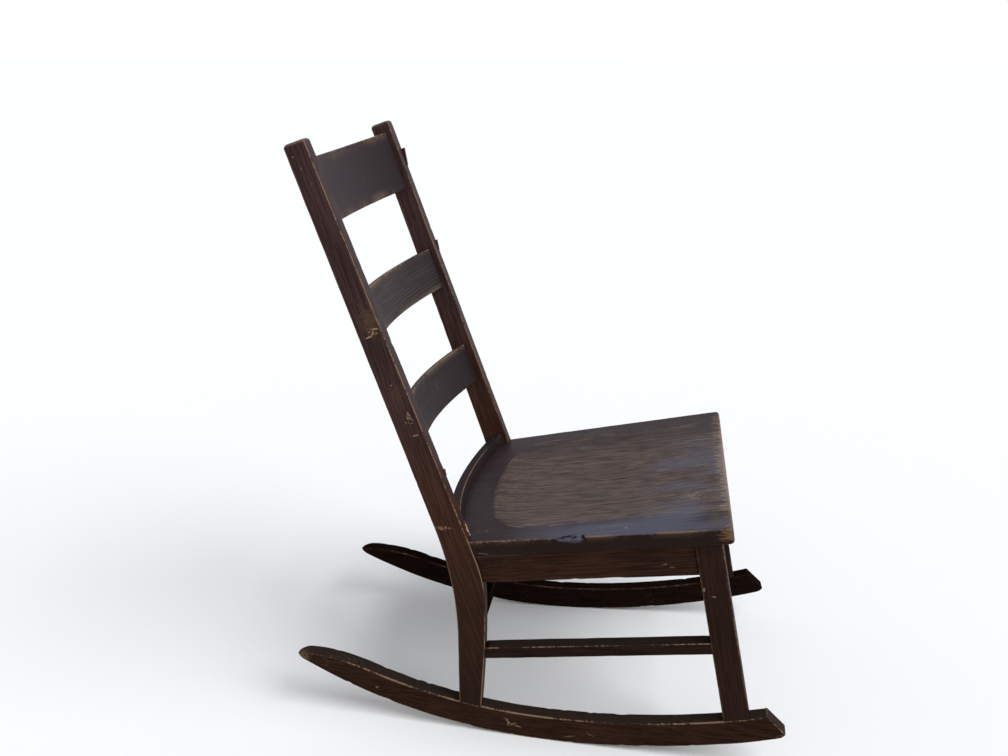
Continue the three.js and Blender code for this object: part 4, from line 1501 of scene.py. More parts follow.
@dataclass
class RearPost(SidedPiece):
    """A rear post: upright below the seat, leaning above it, tapered to its foot and its top."""

    NAME = "rear_post"
    OAK = "post_oak"
    WEAR = StickShape(radius=0.0021, dents=26, dent_radius=0.005, end_rounding=0.0055, seed=3.0)
    finish = POST_OAK
    PITH = (0.0, 0.13, 0.02)
    GRAIN_SHARE = 0.9
    TAN = (0.33, 0.215, 0.125)

    seat_depth: float = 0.0403
    top_depth: float = 0.031
    back_length: float = 0.582
    shin_length: float = 0.10042
    foot_depth: float = 0.033
    rear_bend: float = 0.092
    front_bend: float = 0.038
    foot_turn: tuple[float, float] = (0.06, 0.13)
    lean_turn: tuple[float, float] = (0.15, 0.32)
    right_rise: float = 0.004
    left_drop: float = 0.003
    pitch: float = 0.006

    def leaning_face(self, rearward: int, level: float) -> tuple[float, float]:
        """A point on the leaning front or rear face, as y and z.

        Args:
            rearward: 1 for the rear face and -1 for the front one.
            level: Distance along the lean above the seat point.

        Returns:
            The point's y and z in the post's side view.
        """
        taper = (self.seat_depth - self.top_depth) / self.back_length
        place = PLAN.back_frame(level) @ Vector((0, rearward * (self.seat_depth - taper * level) / 2, 0))
        return place.y, place.z

    def face_corner(self, rearward: int, y: float) -> float:
        """Height where a leaning face, carried on down, meets an upright line.

        Args:
            rearward: 1 for the rear face and -1 for the front one.
            y: Where the upright line stands.

        Returns:
            The height.
        """
        low_y, low_z = self.leaning_face(rearward, 0.0)
        high_y, high_z = self.leaning_face(rearward, self.back_length)
        return low_z + (y - low_y) * (high_z - low_z) / (high_y - low_y)

    def face_line(self, rearward: int) -> np.ndarray:
        """The front or rear face in side view.

        Args:
            rearward: 1 for the rear face and -1 for the front one.

        Returns:
            Its points from foot to top, as rows of y and z.
        """
        rear = PLAN.post_shin_front + PLAN.post_shin_depth
        foot = PLAN.rocker_top(rear) - PLAN.rocker_depth / 2
        top = (*self.leaning_face(rearward, self.back_length), 0.0)
        if rearward > 0:
            return bent_line([(rear, foot, 0.0), (rear, self.face_corner(1, rear), self.rear_bend), top])
        front = PLAN.post_shin_front
        bend = self.face_corner(-1, front)
        ankle = (front, bend - self.shin_length, self.front_bend)
        return bent_line([(rear - self.foot_depth, foot, 0.0), ankle, (front, bend, self.front_bend), top])

    def stations(self) -> list[Station]:
        """Its sections, from the rocker to the top, squared to the foot and then to the lean."""
        matrix = PLAN.post_frame(self.side)
        turn = matrix.to_3x3()
        faces = {way: self.face_line(way) for way in (-1, 1)}
        foot_axis = PLAN.post_shin_front + PLAN.post_shin_depth - self.foot_depth / 2
        foot = PLAN.rocker_top(foot_axis) + PLAN.gap
        foot_slope = math.asin(foot_axis / PLAN.rocker_rear_radius)
        out_of_true = self.right_rise if self.side is Side.RIGHT else -self.left_drop
        top = (PLAN.back_frame(self.back_length - self.WEAR.end_rounding + out_of_true) @ Vector()).z
        steps = round((top - foot) / self.pitch)
        half = PLAN.post_thickness / 2
        stations = []
        for step in range(steps + 1):
            z = foot + (top - foot) * step / steps
            y = sum(y_at(line, z) for line in faces.values()) / 2
            tilt = PLAN.lean_angle * smooth_step(*self.lean_turn, z)
            tilt -= foot_slope * (1 - smooth_step(*self.foot_turn, z))
            reach = {}
            for way, line in faces.items():
                depth = 0.0
                for _ in range(SOLVER_ROUNDS):
                    depth = (y_at(line, z - depth * math.sin(tilt)) - y) / math.cos(tilt)
                reach[way] = depth
            centre = matrix @ Vector((0, y, z))
            deep = turn @ Vector((0, math.cos(tilt), -math.sin(tilt)))
            stations.append(Station(centre, turn @ ACROSS, deep, half, -reach[-1], reach[1]))
        set_runs(stations)
        return stations

    def origin(self) -> Vector:
        """The point that its board's grain is counted from."""
        return in_part(PLAN.post_frame(self.side), (0, 0.15, 0.25 * self.side.value))

    def grain(self) -> Grain:
        """Grain that runs almost along the lean."""
        lean = self.GRAIN_SHARE * PLAN.lean_angle
        along = Vector((0, math.sin(lean), math.cos(lean)))
        return Grain(along, ACROSS, self.origin(), pith=self.PITH, ring_width=0.0024)

    def at(self, y: float, z: float, outwards: float = 1.0) -> Vector:
        """A place in the part's frame, with outwards 1 on the outer side, 0 in the middle, -1 inside."""
        outer = self.side.value * PLAN.post_thickness / 2
        return in_part(PLAN.post_frame(self.side), (outwards * outer, y, z))

    def stroke(self, y: float, z: float, length: float, turn: float, strength: float = 0.75) -> Mark:
        """A thin pale scratch on the outer side, turned by degrees in the side view."""
        reach = (MARK_DEPTH, length / 2, 0.0014)
        return Mark(self.at(y, z), reach, self.TAN, strength, 0.7, 420.0, turn=turn, softness=0.7)

    def marks(self) -> Sequence[Mark]:
        """Painted shade under the seat on the left post; scuffs, flecks and the torn arris on the right one.
        """
        if self.side is Side.LEFT:
            # Painted shade: the left post's shin under the seat is darkened almost to black, as if in the
            # seat's shadow
            darkening = (0.006, 0.0045, 0.004)
            return [Mark(self.at(0.12, 0.19, 0.0), (0.03, 0.06, 0.16), darkening, 0.8, 0.2, 60.0, softness=0.5)]
        at = self.at
        stroke = self.stroke
        deep = MARK_DEPTH
        ochre = (0.085, 0.050, 0.026)
        flesh = (0.40, 0.28, 0.18)
        return [
            Mark(at(0.234, 0.648), (deep, 0.018, 0.030), ochre, 0.5, 0.5, 240.0, turn=12, softness=0.9),
            stroke(0.225, 0.631, 0.006, 40, 0.45),
            stroke(0.235, 0.632, 0.005, 10, 0.35),
            stroke(0.230, 0.631, 0.011, 65),
            stroke(0.2275, 0.637, 0.012, 5),
            stroke(0.237, 0.6245, 0.013, 24),
            Mark(at(0.200, 0.545), (deep, 0.013, 0.024), ochre, 0.2, 0.5, 260.0, softness=0.9),
            stroke(0.2075, 0.5575, 0.003, 0),
            stroke(0.186, 0.511, 0.009, -75, 0.45),
            stroke(0.180, 0.503, 0.006, 30, 0.4),
            stroke(0.1845, 0.516, 0.011, -49, 0.65),
            stroke(0.182, 0.510, 0.010, -39, 0.6),
            stroke(0.188, 0.5035, 0.008, -8, 0.6),
            stroke(0.1765, 0.485, 0.013, 20, 0.55),
            stroke(0.325, 0.8625, 0.003, 60, 0.3),
            stroke(0.3155, 0.848, 0.005, 80, 0.3),
            stroke(0.303, 0.829, 0.004, 5, 0.15),
            Mark(at(0.141, 0.344), (deep, 0.010, 0.003), self.TAN, 0.4, 1.2, 430.0, softness=0.6),
            Mark(at(0.1085, 0.338, -1.0), (0.008, 0.006, 0.012), flesh, 0.85, 0.7, 300.0, depth=0.0004),
        ]


@dataclass(frozen=True)
class Splinter:
    """A splinter on the front of a rear post, held at its foot and standing proud at its top."""

    name: str
    side: Side
    foot: float
    length: float
    proud: float
    foot_share: float = 0.2
    half_width: float = 0.003
    root: float = 0.002
    place: float = 0.0075
    pitch: float = 0.004

    def build(self) -> Piece:
        """Makes the splinter, which no CAD node has."""
        matrix = PLAN.post_frame(self.side)
        turn = matrix.to_3x3()
        out = turn @ Vector((0, -math.cos(PLAN.lean_angle), math.sin(PLAN.lean_angle)))
        ends = []
        for level, share in ((self.foot, self.foot_share), (self.foot + self.length, 1.0)):
            centre = matrix @ Vector((self.place, *RearPost(self.side).leaning_face(-1, level)))
            ends.append(Station(centre, turn @ ACROSS, out, self.half_width, self.root, share * self.proud))
        made = StickMaker(SPLINTER_WEAR).build(self.name, lerp_stations(*ends, self.pitch))
        return settle(made, [], Slot.FRAME)

    def dress(self, splinter: Piece, groups: ShaderGroups) -> None:
        """Gives the splinter the post's finish."""
        grain = Grain(Vector((0, PLAN.post_lean, 1)), ACROSS, RearPost(self.side).origin(), RearPost.PITH)
        SPLINTER_OAK.dress(splinter, groups, Dressing(f"{self.name}_oak", grain))


SPLINTERS = (
    Splinter("splinter_left_upper", Side.LEFT, foot=0.500, length=0.028, proud=0.0060),
    Splinter("splinter_left_lower", Side.LEFT, foot=0.349, length=0.017, proud=0.0030),
    Splinter("splinter_right", Side.RIGHT, foot=0.086, length=0.010, proud=0.0020),
)


@dataclass
class FrontLeg(SidedPiece):
    """A front leg, raked forwards at its foot and flush with its rocker."""

    NAME = "front_leg"
    OAK = "leg_oak"
    WEAR = StickShape(radius=0.002, dents=12, seed=5.0)
    finish = LEG_OAK

    pitch: float = 0.006

    def stations(self) -> list[Station]:
        """Its sections, from the rocker to the seat, with both ends cut aslant."""
        matrix = PLAN.base_frame(self.side)
        turn = matrix.to_3x3()
        rake = math.atan(PLAN.leg_rake)
        square = Vector((0, math.cos(rake), -math.sin(rake)))
        foot_y = PLAN.leg_axis(PLAN.rocker_top(-PLAN.leg_reach))
        foot_z = PLAN.rocker_top(foot_y) + PLAN.gap
        head_y = PLAN.leg_crossing(PLAN.seat_under(0.0) - PLAN.gap, PLAN.seat_slope)
        head_z = PLAN.seat_under(head_y) - PLAN.gap
        slope = foot_y / math.sqrt(PLAN.rocker_front_radius**2 - foot_y**2)
        half = PLAN.leg_depth / 2
        ends = []
        for z, rise in ((foot_z, slope), (head_z, -PLAN.seat_slope)):
            deep = turn @ sheared(Vector((0, 1, rise)).normalized(), square)
            centre = matrix @ Vector((0, PLAN.leg_axis(z), z))
            ends.append(Station(centre, turn @ ACROSS, deep, PLAN.rocker_thickness / 2, half, half))
        return lerp_stations(*ends, self.pitch)

    def grain(self) -> Grain:
        """Grain that runs along the leg."""
        origin = in_part(PLAN.base_frame(self.side), (0, -0.25, 0.4 * self.side.value))
        return Grain(Vector((0, PLAN.leg_rake, 1)), ACROSS, origin, pith=(0.0, -0.11, 0.03))

    def marks(self) -> Sequence[Mark]:
        """Two flecks near the top of the right leg."""
        if self.side is Side.LEFT:
            return ()
        return [
            Mark(self.outside(-0.2311, 0.2842), (0.004, 0.0018, 0.0045), strength=0.5, softness=0.7),
            Mark(self.outside(-0.2439, 0.2747), (0.004, 0.0040, 0.0014), strength=0.5, softness=0.7),
        ]


@dataclass
class Rocker(SidedPiece):
    """A sawn rocker with a slanted nose and a tail that thins to a rounded tip."""

    NAME = "rocker"
    OAK = "rocker_oak"
    WEAR = StickShape(radius=0.0026, dents=40, dent_radius=0.0065, start_rounding=0.0025, seed=1.0)
    TIP_PLACES = (
        0.03, 0.025, 0.021, 0.017, 0.0135, 0.0105, 0.008, 0.006, 0.0042, 0.0028, 0.0016, 0.0008, 0.0003
    )

    rear_reach: float = 0.383
    front_reach: float = 0.362
    tail_length: float = 0.118
    nose_cut: float = 0.032
    nose_turn: float = 0.062
    nose_lift: float = 0.004
    nose_lift_run: float = 0.011
    tail_shoulder: float = 0.4
    tail_tip: float = 0.13
    tail_fullness: float = 0.3
    tail_steps: int = 120
    tip_rounding: float = 0.012
    tip_bluntness: float = 0.02
    pitch: float = 0.006

    @property
    def finish(self) -> OakFinish:
        """Its oak, with painted shade making it near black on the left rocker."""
        return ROCKER_OAK if self.side is Side.RIGHT else SHADED_LEFT_ROCKER_OAK

    def tail_line(self) -> np.ndarray:
        """The upper edge of the tail as rows of y and z, from its shoulder to its tip."""
        start = Vector((self.rear_reach - self.tail_length, 0.0))
        start.y = PLAN.rocker_top(start.x)
        angle = math.asin(start.x / PLAN.rocker_rear_radius)
        tip = Vector((self.rear_reach, PLAN.sole(self.rear_reach)))
        way = Vector((math.cos(angle), math.sin(angle)))
        first = start + self.tail_shoulder * self.tail_length * way
        fullness = self.tail_fullness * PLAN.rocker_depth
        second = tip + Vector((-self.tail_tip * self.tail_length, fullness))
        points = []
        for step in range(self.tail_steps + 1):
            t = step / self.tail_steps
            weights = ((1 - t) ** 3, 3 * t * (1 - t) ** 2, 3 * t**2 * (1 - t), t**3)
            parts = (weight * point for weight, point in zip(weights, (start, first, second, tip)))
            points.append(tuple(sum(parts, Vector((0, 0)))))
        return np.array(points)

    def top(self, y: float, tail: np.ndarray) -> float:
        """Height of the upper face at y, also along the tail."""
        return float(np.interp(y, tail[:, 0], tail[:, 1])) if y > tail[0, 0] else PLAN.rocker_top(y)

    def sole_places(self) -> list[float]:
        """Where along y the sections stand on the sole, nose first and closer together at the tip."""
        places = list(np.arange(-self.front_reach, self.rear_reach - self.TIP_PLACES[0], self.pitch))
        return places + [self.rear_reach - place for place in self.TIP_PLACES]

    def stations(self) -> list[Station]:
        """Its sections, from nose to tail."""
        matrix = PLAN.base_frame(self.side)
        turn = matrix.to_3x3()
        tail = self.tail_line()
        nose_top = self.nose_cut - self.front_reach
        stations = []
        for place in self.sole_places():
            radius = PLAN.rocker_front_radius if place < 0 else PLAN.rocker_rear_radius
            foot = Vector((0, place, PLAN.sole(place)))
            way = Vector((0, -place / radius, math.sqrt(1 - (place / radius) ** 2)))
            depth = 0.0
            for _ in range(SOLVER_ROUNDS):
                depth = (self.top(place + depth * way.y, tail) - foot.z) / way.z
            head = foot + way * depth
            from_nose = place + self.front_reach
            turned = 1 - smooth_step(0.0, self.nose_turn, from_nose)
            if turned > 0:
                y = max(nose_top, head.y + turned * (nose_top - head.y))
                head = Vector((0, y, PLAN.rocker_top(y)))
            lift = self.nose_lift * max(0.0, 1 - from_nose / self.nose_lift_run) ** 2
            foot = foot + (head - foot).normalized() * lift
            from_tip = self.rear_reach - place
            half = PLAN.rocker_thickness / 2
            if from_tip < self.tip_rounding:
                half *= math.sqrt(max(self.tip_bluntness, 1 - (1 - from_tip / self.tip_rounding) ** 2))
            deep = turn @ (head - foot).normalized()
            reach = (head - foot).length / 2
            stations.append(Station(matrix @ ((foot + head) / 2), turn @ ACROSS, deep, half, reach, reach))
        set_runs(stations)
        return stations

    def grain(self) -> Grain:
        """Grain that runs straight through the bend, as in a sawn rocker."""
        origin = in_part(PLAN.base_frame(self.side), (0, 0.5 * self.side.value, 0.02))
        return Grain(BACKWARDS, ACROSS, origin, pith=(0.0, 0.10, 0.03))

    def scratch(self, y: float, z: float, reach: Place, strength: float = 0.5, turn: float = 0.0) -> Mark:
        """A pale scratch on the outer side, turned by degrees in the side view."""
        tan = (0.26, 0.175, 0.105)
        return Mark(self.outside(y, z), reach, tan, strength, 0.9, 460.0, turn=turn, softness=0.6)

    def marks(self) -> Sequence[Mark]:
        """Scratches on the right rocker and the rubbed ends of its nose and its tail."""
        if self.side is Side.LEFT:
            return ()
        return [
            self.scratch(0.045, 0.024, (0.004, 0.007, 0.0022), 0.6, -50),
            self.scratch(0.038, 0.021, (0.004, 0.008, 0.0018), 0.55, 20),
            self.scratch(0.030, 0.018, (0.004, 0.006, 0.0018), 0.5, -20),
            self.scratch(-0.05, 0.012, (0.004, 0.010, 0.0012), 0.3, 15),
            self.scratch(-0.08, 0.020, (0.004, 0.006, 0.0012), 0.3, -30),
            self.scratch(0.2523, 0.0557, (0.004, 0.003, 0.002)),
            self.scratch(0.374, 0.095, (0.014, 0.014, 0.008), 0.3),
            self.scratch(-0.3552, 0.0564, (0.006, 0.007, 0.005), 0.6),
        ]


@dataclass
class SideRail(SidedPiece):
    """A rail under one side of the seat, between the front leg and the rear post."""

    NAME = "side_rail"
    OAK = "side_rail_oak"
    WEAR = RAIL_WEAR
    finish = RAIL_OAK

    front_drop: float = 0.053
    rear_drop: float = 0.043
    sink: float = 0.0006
    pitch: float = 0.008

    def axis(self) -> tuple[Vector, Vector]:
        """Where its middle line meets the leg's axis and the post's, level with the floor."""
        head = PLAN.leg_crossing(PLAN.seat_under(0.0), PLAN.seat_slope)
        front = PLAN.base_frame(self.side) @ Vector((0, head, PLAN.seat_under(head)))
        rear = PLAN.post_frame(self.side) @ Vector((0, PLAN.shin_axis, PLAN.seat_under(PLAN.shin_axis)))
        for place, thickness in ((front, PLAN.rocker_thickness), (rear, PLAN.post_thickness)):
            place.x -= self.side.value * (PLAN.rail_inset + (PLAN.rail_thickness - thickness) / 2)
            place.z = 0.0
        return front, rear

    def lower_edge(self, y: float) -> float:
        """Height of its lower edge.

        Args:
            y: Where along y.

        Returns:
            The height.
        """
        front, rear = self.axis()
        low_front = PLAN.seat_under(front.y) - self.front_drop
        low_rear = PLAN.seat_under(rear.y) - self.rear_drop
        return low_front + (low_rear - low_front) * ((y - front.y) / (rear.y - front.y))

    def stations(self) -> list[Station]:
        """Its sections, from the leg to the post, with each end cut to the face that it meets."""
        front, rear = self.axis()
        along = (rear - front).normalized()
        across = Vector((along.y, -along.x, 0))
        half = PLAN.rail_thickness / 2
        edges = (self.lower_edge, PLAN.seat_under)
        head = PLAN.leg_crossing(PLAN.seat_under(0.0), PLAN.seat_slope)
        post_face = RearPost(self.side).face_line(-1)
        at_leg = [PLAN.leg_axis(edge(head)) + PLAN.leg_half - self.sink for edge in edges]
        at_post = [y_at(post_face, edge(PLAN.post_shin_front)) + self.sink for edge in edges]
        ends = []
        for low_y, top_y in (at_leg, at_post):
            low = front.lerp(rear, (low_y - front.y) / (rear.y - front.y))
            top = front.lerp(rear, (top_y - front.y) / (rear.y - front.y))
            low.z = self.lower_edge(low.y)
            top.z = PLAN.seat_under(top.y) - PLAN.gap
            reach = (top - low).length / 2
            ends.append(Station((low + top) / 2, across, (top - low).normalized(), half, reach, reach))
        return lerp_stations(*ends, self.pitch)

    def grain(self) -> Grain:
        """Grain that runs along the seat's slope."""
        origin = in_part(PLAN.base_frame(self.side), (0, 0.3 * self.side.value, 0.3))
        along = Vector((0, 1, -PLAN.seat_slope))
        return Grain(along, ACROSS, origin, pith=(0.0, 0.075, 0.02), ring_width=0.0045)

    def marks(self) -> Sequence[Mark]:
        """Two short scratches near the front of the right rail."""
        if self.side is Side.LEFT:
            return ()
        tan = (0.22, 0.135, 0.075)
        return [
            Mark(self.outside(-0.176, 0.317), (0.006, 0.005, 0.0012), tan, 0.4, 0.9, 450.0, turn=20),
            Mark(self.outside(-0.1857, 0.3134), (0.006, 0.003, 0.0012), tan, 0.4, 0.8, 450.0),
        ]


@dataclass
class FrontRail(SawnPiece):
    """The rail under the seat's front edge, raked like the legs."""

    node = "front_rail"
    oak = "front_rail_oak"
    wear = replace(RAIL_WEAR, seed=9.0)
    finish = RAIL_OAK

    drop: float = 0.050
    sink: float = 0.002
    pitch: float = 0.008

    def axis(self, z: float) -> float:
        """Y of its middle at height z."""
        return PLAN.leg_axis(z) + (PLAN.rail_inset + PLAN.rail_thickness / 2 - PLAN.leg_half)

    def stations(self) -> list[Station]:
        """Its sections, from right to left."""
        head = PLAN.leg_crossing(PLAN.seat_under(0.0), PLAN.seat_slope)
        low = PLAN.seat_under(head) - self.drop
        high = PLAN.seat_under(self.axis(PLAN.seat_under(head))) - PLAN.gap
        deep = Vector((0, self.axis(high) - self.axis(low), high - low)).normalized()
        middle = Vector((0, (self.axis(low) + self.axis(high)) / 2, (low + high) / 2))
        reach = (high - low) / 2 / deep.z
        inner = (PLAN.base_frame(Side.LEFT) @ middle).x - PLAN.rocker_thickness / 2 + self.sink
        section = (Vector((0, deep.z, -deep.y)), deep, PLAN.rail_thickness / 2, reach, reach)
        ends = [Station(middle + Vector((way * inner, 0, 0)), *section) for way in (-1, 1)]
        return lerp_stations(*ends, self.pitch)

    def grain(self) -> Grain:
        """Grain that runs across the chair."""
        origin = Vector((0.1, -0.25, 0.35))
        return Grain(ACROSS, Vector((0, 1, PLAN.leg_rake)), origin)


@dataclass
class SideStretcher(SidedPiece):
    """A stretcher between a front leg and a rear post, rising forwards."""

    NAME = "side_stretcher"
    OAK = "side_stretcher_oak"
    WEAR = STRETCHER_WEAR
    finish = STRETCHER_OAK

    leg_sink: float = 0.003
    post_sink: float = 0.0006
    pitch: float = 0.008

    def stations(self) -> list[Station]:
        """Its sections, from the leg to the post."""
        start_y = PLAN.leg_crossing(PLAN.stretcher_axis(0.0), PLAN.stretcher_slope)
        start = PLAN.base_frame(self.side) @ Vector((0, start_y, PLAN.stretcher_axis(start_y)))
        end = PLAN.post_frame(self.side) @ Vector((0, PLAN.shin_axis, PLAN.stretcher_axis(PLAN.shin_axis)))
        along = (end - start).normalized()
        across = along.cross(UP).normalized()
        square = across.cross(along)
        first = start.lerp(end, (PLAN.leg_half - self.leg_sink) / (end.y - start.y))
        last = start.lerp(end, (PLAN.post_shin_front + self.post_sink - start.y) / (end.y - start.y))
        half = PLAN.stretcher_width / 2
        tall = PLAN.stretcher_height / 2
        ends = []
        for centre, cut in ((first, Vector((0, PLAN.leg_rake, 1)).normalized()), (last, UP)):
            ends.append(Station(centre, across, sheared(cut, square), half, tall, tall))
        return lerp_stations(*ends, self.pitch)

    def grain(self) -> Grain:
        """Grain that runs along the stretcher."""
        origin = in_part(PLAN.base_frame(self.side), (0, 0.2 * self.side.value, PLAN.stretcher_level))
        return Grain(Vector((0, 1, -PLAN.stretcher_slope)), ACROSS, origin)


@dataclass
class CrossStretcher(SawnPiece):
    """A stretcher across the chair, just above the side ones, between the legs or between the posts."""

    finish = SHADED_CROSS_STRETCHER_OAK

    end: End
    sink: float = 0.002
    pitch: float = 0.008

    def __post_init__(self) -> None:
        """Names the stretcher and its oak, and lets each wear in its own way."""
        self.node = f"{self.end.value}_stretcher"
        self.oak = f"worn_{self.node}_oak"
        self.wear = replace(STRETCHER_WEAR, seed=13.0 if self.end is End.FRONT else 12.0)

    def stations(self) -> list[Station]:
        """Its sections, from right to left."""
        if self.end is End.FRONT:
            y = PLAN.leg_crossing(PLAN.stretcher_axis(0.0) + PLAN.stretcher_height, PLAN.stretcher_slope)
            matrix, thickness = PLAN.base_frame(Side.LEFT), PLAN.rocker_thickness
        else:
            y = PLAN.shin_axis
            matrix, thickness = PLAN.post_frame(Side.LEFT), PLAN.post_thickness
        z = PLAN.stretcher_axis(y) + PLAN.stretcher_height + PLAN.stretcher_lift
        inner = (matrix @ Vector((0, y, z))).x - thickness / 2 + self.sink
        half = PLAN.stretcher_height / 2
        ends = [Station(Vector((x, y, z)), BACKWARDS, UP, half, half, half) for x in (-inner, inner)]
        return lerp_stations(*ends, self.pitch)

    def grain(self) -> Grain:
        """Grain that runs across the chair."""
        origin = Vector((0.5 if self.end is End.FRONT else 0.2, 0, PLAN.stretcher_level))
        return Grain(ACROSS, BACKWARDS, origin)


# Seat


@dataclass
class Seat:
    """The plank seat: an eased edge, a scooped top and rear corners notched round the posts.

    The chip is a splintered break in its right edge, the warp a slow wave of the whole board, and
    sharp_angle the bend in degrees at which its shading breaks.
    """

    CREAM = (0.27, 0.19, 0.13)

    front_overhang: float = 0.0268
    side_overhang: float = 0.0146
    post_inset: float = 0.0033
    corner_rounding: float = 0.009
    corner_steps: int = 6
    rear_points: int = 31
    eased_edge: float = 0.0042
    scoop_depth: float = 0.008
    scoop_half_width: float = 0.168
    scoop_rear: float = 0.092
    scoop_rear_round: float = 0.105
    scoop_front_fade: float = 0.210
    scoop_rim_power: float = 3.0
    scoop_end_share: float = 0.12
    scoop_softness: float = 0.06
    cell: float = 0.006
    edge_cell: float = 0.0014
    edge_band: float = 0.195
    cut_tolerance: float = 1e-6
    chip_rear: float = -0.0170
    chip_front: float = -0.0655
    chip_inset: float = 0.0085
    chip_depth: float = 0.0040
    chip_level: float = 0.014
    chip_least: float = 0.0003
    chip_power: float = 0.7
    chip_start_share: float = 0.35
    chip_end_share: float = 0.86
    chip_lip_shares: tuple[float, float] = (0.75, 1.05)
    ridge_share: float = 0.25
    ridge_pitch: float = 0.0023
    ridge_slant: float = 700.0
    warp: float = 0.00025
    warp_seed: float = 21.0
    warp_skew: float = 3.0
    warp_pitch: float = 0.05
    sharp_angle: float = 50.0
    unworn: float = 0.004

    @property
    def front_reach(self) -> float:
        """How far before the resting point the front edge stands, level with the floor."""
        return PLAN.leg_reach - PLAN.leg_rake * PLAN.seat_height + self.front_overhang

    @property
    def front_half(self) -> float:
        """Half of the seat's width at its front edge."""
        return PLAN.track_half_width + PLAN.side_taper * self.front_reach + self.side_overhang

    @property
    def rear_half(self) -> float:
        """Half of the seat's width where it meets the posts."""
        return PLAN.post_half_span + PLAN.post_splay * PLAN.seat_height - self.post_inset

    @property
    def front_edge(self) -> float:
        """Y of the front edge along the seat's slope."""
        return self.along(-self.front_reach)

    def along(self, y: float) -> float:
        """A level distance turned into one along the seat's slope."""
        return y / math.cos(PLAN.seat_angle)

    def half_at(self, y: float) -> float:
        """Half width at y along the slope."""
        run = self.along(PLAN.post_seat_setback) - self.front_edge
        return self.front_half - (self.front_half - self.rear_half) / run * (y - self.front_edge)

    def spread(self, x: float, y: float) -> float:
        """How far a place lies from the scoop's middle.

        Args:
            x: The place across.
            y: The place along the slope.

        Returns:
            Zero in the middle and 1 on the scoop's rim.
        """
        rim = abs(x) / self.scoop_half_width
        begin = self.along(self.scoop_rear) - self.scoop_rear_round
        back = max(0.0, y - begin) / self.scoop_rear_round
        return (rim**self.scoop_rim_power + back**self.scoop_rim_power) ** (1 / self.scoop_rim_power)

    def scoop(self, x: float, y: float) -> float:
        """Depth of the scooped top below the seat's plane.

        Args:
            x: The place across.
            y: The place along the slope.

        Returns:
            The depth, as a negative number.
        """
        fade = smooth_step(0.0, self.scoop_front_fade, y - self.front_edge)
        depth = self.scoop_depth * (self.scoop_end_share + (1 - self.scoop_end_share) * fade)
        bowl = self.spread(x, y) ** 2 - 1
        soft = self.scoop_softness
        return depth * (bowl - math.sqrt(bowl**2 + soft**2) + soft * math.exp(-((bowl / soft) ** 2) / 4)) / 2

    def rear_edge(self, x: float, level: float) -> float:
        """Finds where the seat meets the bent rail's front face.

        Args:
            x: The place across.
            level: Level in the seat's frame.

        Returns:
            Y along the slope.
        """
        half, radius, centre = BACK_RAIL.arc()
        back = centre + math.sqrt(radius**2 - min(abs(x), half) ** 2) - BACK_RAIL.thickness / 2 - PLAN.gap
        to_seat = PLAN.seat_frame().inverted()
        reach = PLAN.seat_thickness
        low = to_seat @ (PLAN.back_frame(-reach) @ Vector((x, back, 0)))
        high = to_seat @ (PLAN.back_frame(reach) @ Vector((x, back, 0)))
        return low.y + (level - low.z) * (high.y - low.y) / (high.z - low.z)

    def notch(self, level: float) -> tuple[float, float]:
        """The notch round a post.

        Args:
            level: Level in the seat's frame.

        Returns:
            Where its inner face stands across and its front face along the slope.
        """
        to_seat = PLAN.seat_frame().inverted()
        points = [to_seat @ Vector((0, y, z)) for y, z in RearPost(Side.LEFT).face_line(-1)]
        front = float(np.interp(level, [point.z for point in points], [point.y for point in points]))
        return PLAN.post_inner(PLAN.seat_height - PLAN.seat_thickness) - PLAN.gap, front - PLAN.gap

    def outline(self, level: float) -> tuple[list[Vector], int]:
        """The seat's outline at a level.

        Args:
            level: Level of the seat's frame.

        Returns:
            Its points from the right post round the front to the left post and back along the rear edge,
            and how many of them belong to the free edge.
        """
        inner, notch_y = self.notch(level)
        front, half, reach = self.front_edge, self.front_half, self.corner_rounding
        beside_post = Vector((self.half_at(notch_y), notch_y))
        beside_corner = Vector((self.half_at(front + reach), front + reach))
        mirror = Vector((-1, 1))
        points = [mirror * beside_post, mirror * beside_corner]
        before_corner = Vector((reach - half, front))
        points += quadratic(points[-1], Vector((-half, front)), before_corner, self.corner_steps)
        points.append(Vector((half - reach, front)))
        points += quadratic(points[-1], Vector((half, front)), beside_corner, self.corner_steps)
        points.append(beside_post)
        free = len(points)
        points.append(Vector((inner, notch_y)))
        for x in np.linspace(inner, -inner, self.rear_points):
            points.append(Vector((x, self.rear_edge(float(x), level))))
        points.append(Vector((-inner, notch_y)))
        return points, free

    def blank(self) -> bmesh.types.BMesh:
        """The seat's solid with eased free edges, cut into small cells, before it is scooped."""
        work = bmesh.new()
        upper, free = self.outline(0.0)
        lower, _ = self.outline(-PLAN.seat_thickness)
        top = [work.verts.new((point.x, point.y, 0.0)) for point in upper]
        under = [work.verts.new((point.x, point.y, -PLAN.seat_thickness)) for point in lower]
        work.faces.new(top)
        work.faces.new(under)
        for index in range(len(top)):
            after = (index + 1) % len(top)
            work.faces.new((top[index], top[after], under[after], under[index]))
        bmesh.ops.recalc_face_normals(work, faces=work.faces)
        eased = []
        for loop in (top, under):
            for here, after in zip(loop[: free - 1], loop[1:free]):
                eased.append(next(edge for edge in here.link_edges if edge.other_vert(here) == after))
        rounding = {"segments": 5, "profile": 0.5, "affect": "EDGES", "clamp_overlap": True}
        bmesh.ops.bevel(work, geom=eased, offset=self.eased_edge, **rounding)
        for normal, place in self.cuts():
            geometry = list(work.verts) + list(work.edges) + list(work.faces)
            cut = {"plane_co": normal * place, "plane_no": normal, "dist": self.cut_tolerance}
            bmesh.ops.bisect_plane(work, geom=geometry, **cut)
        return work

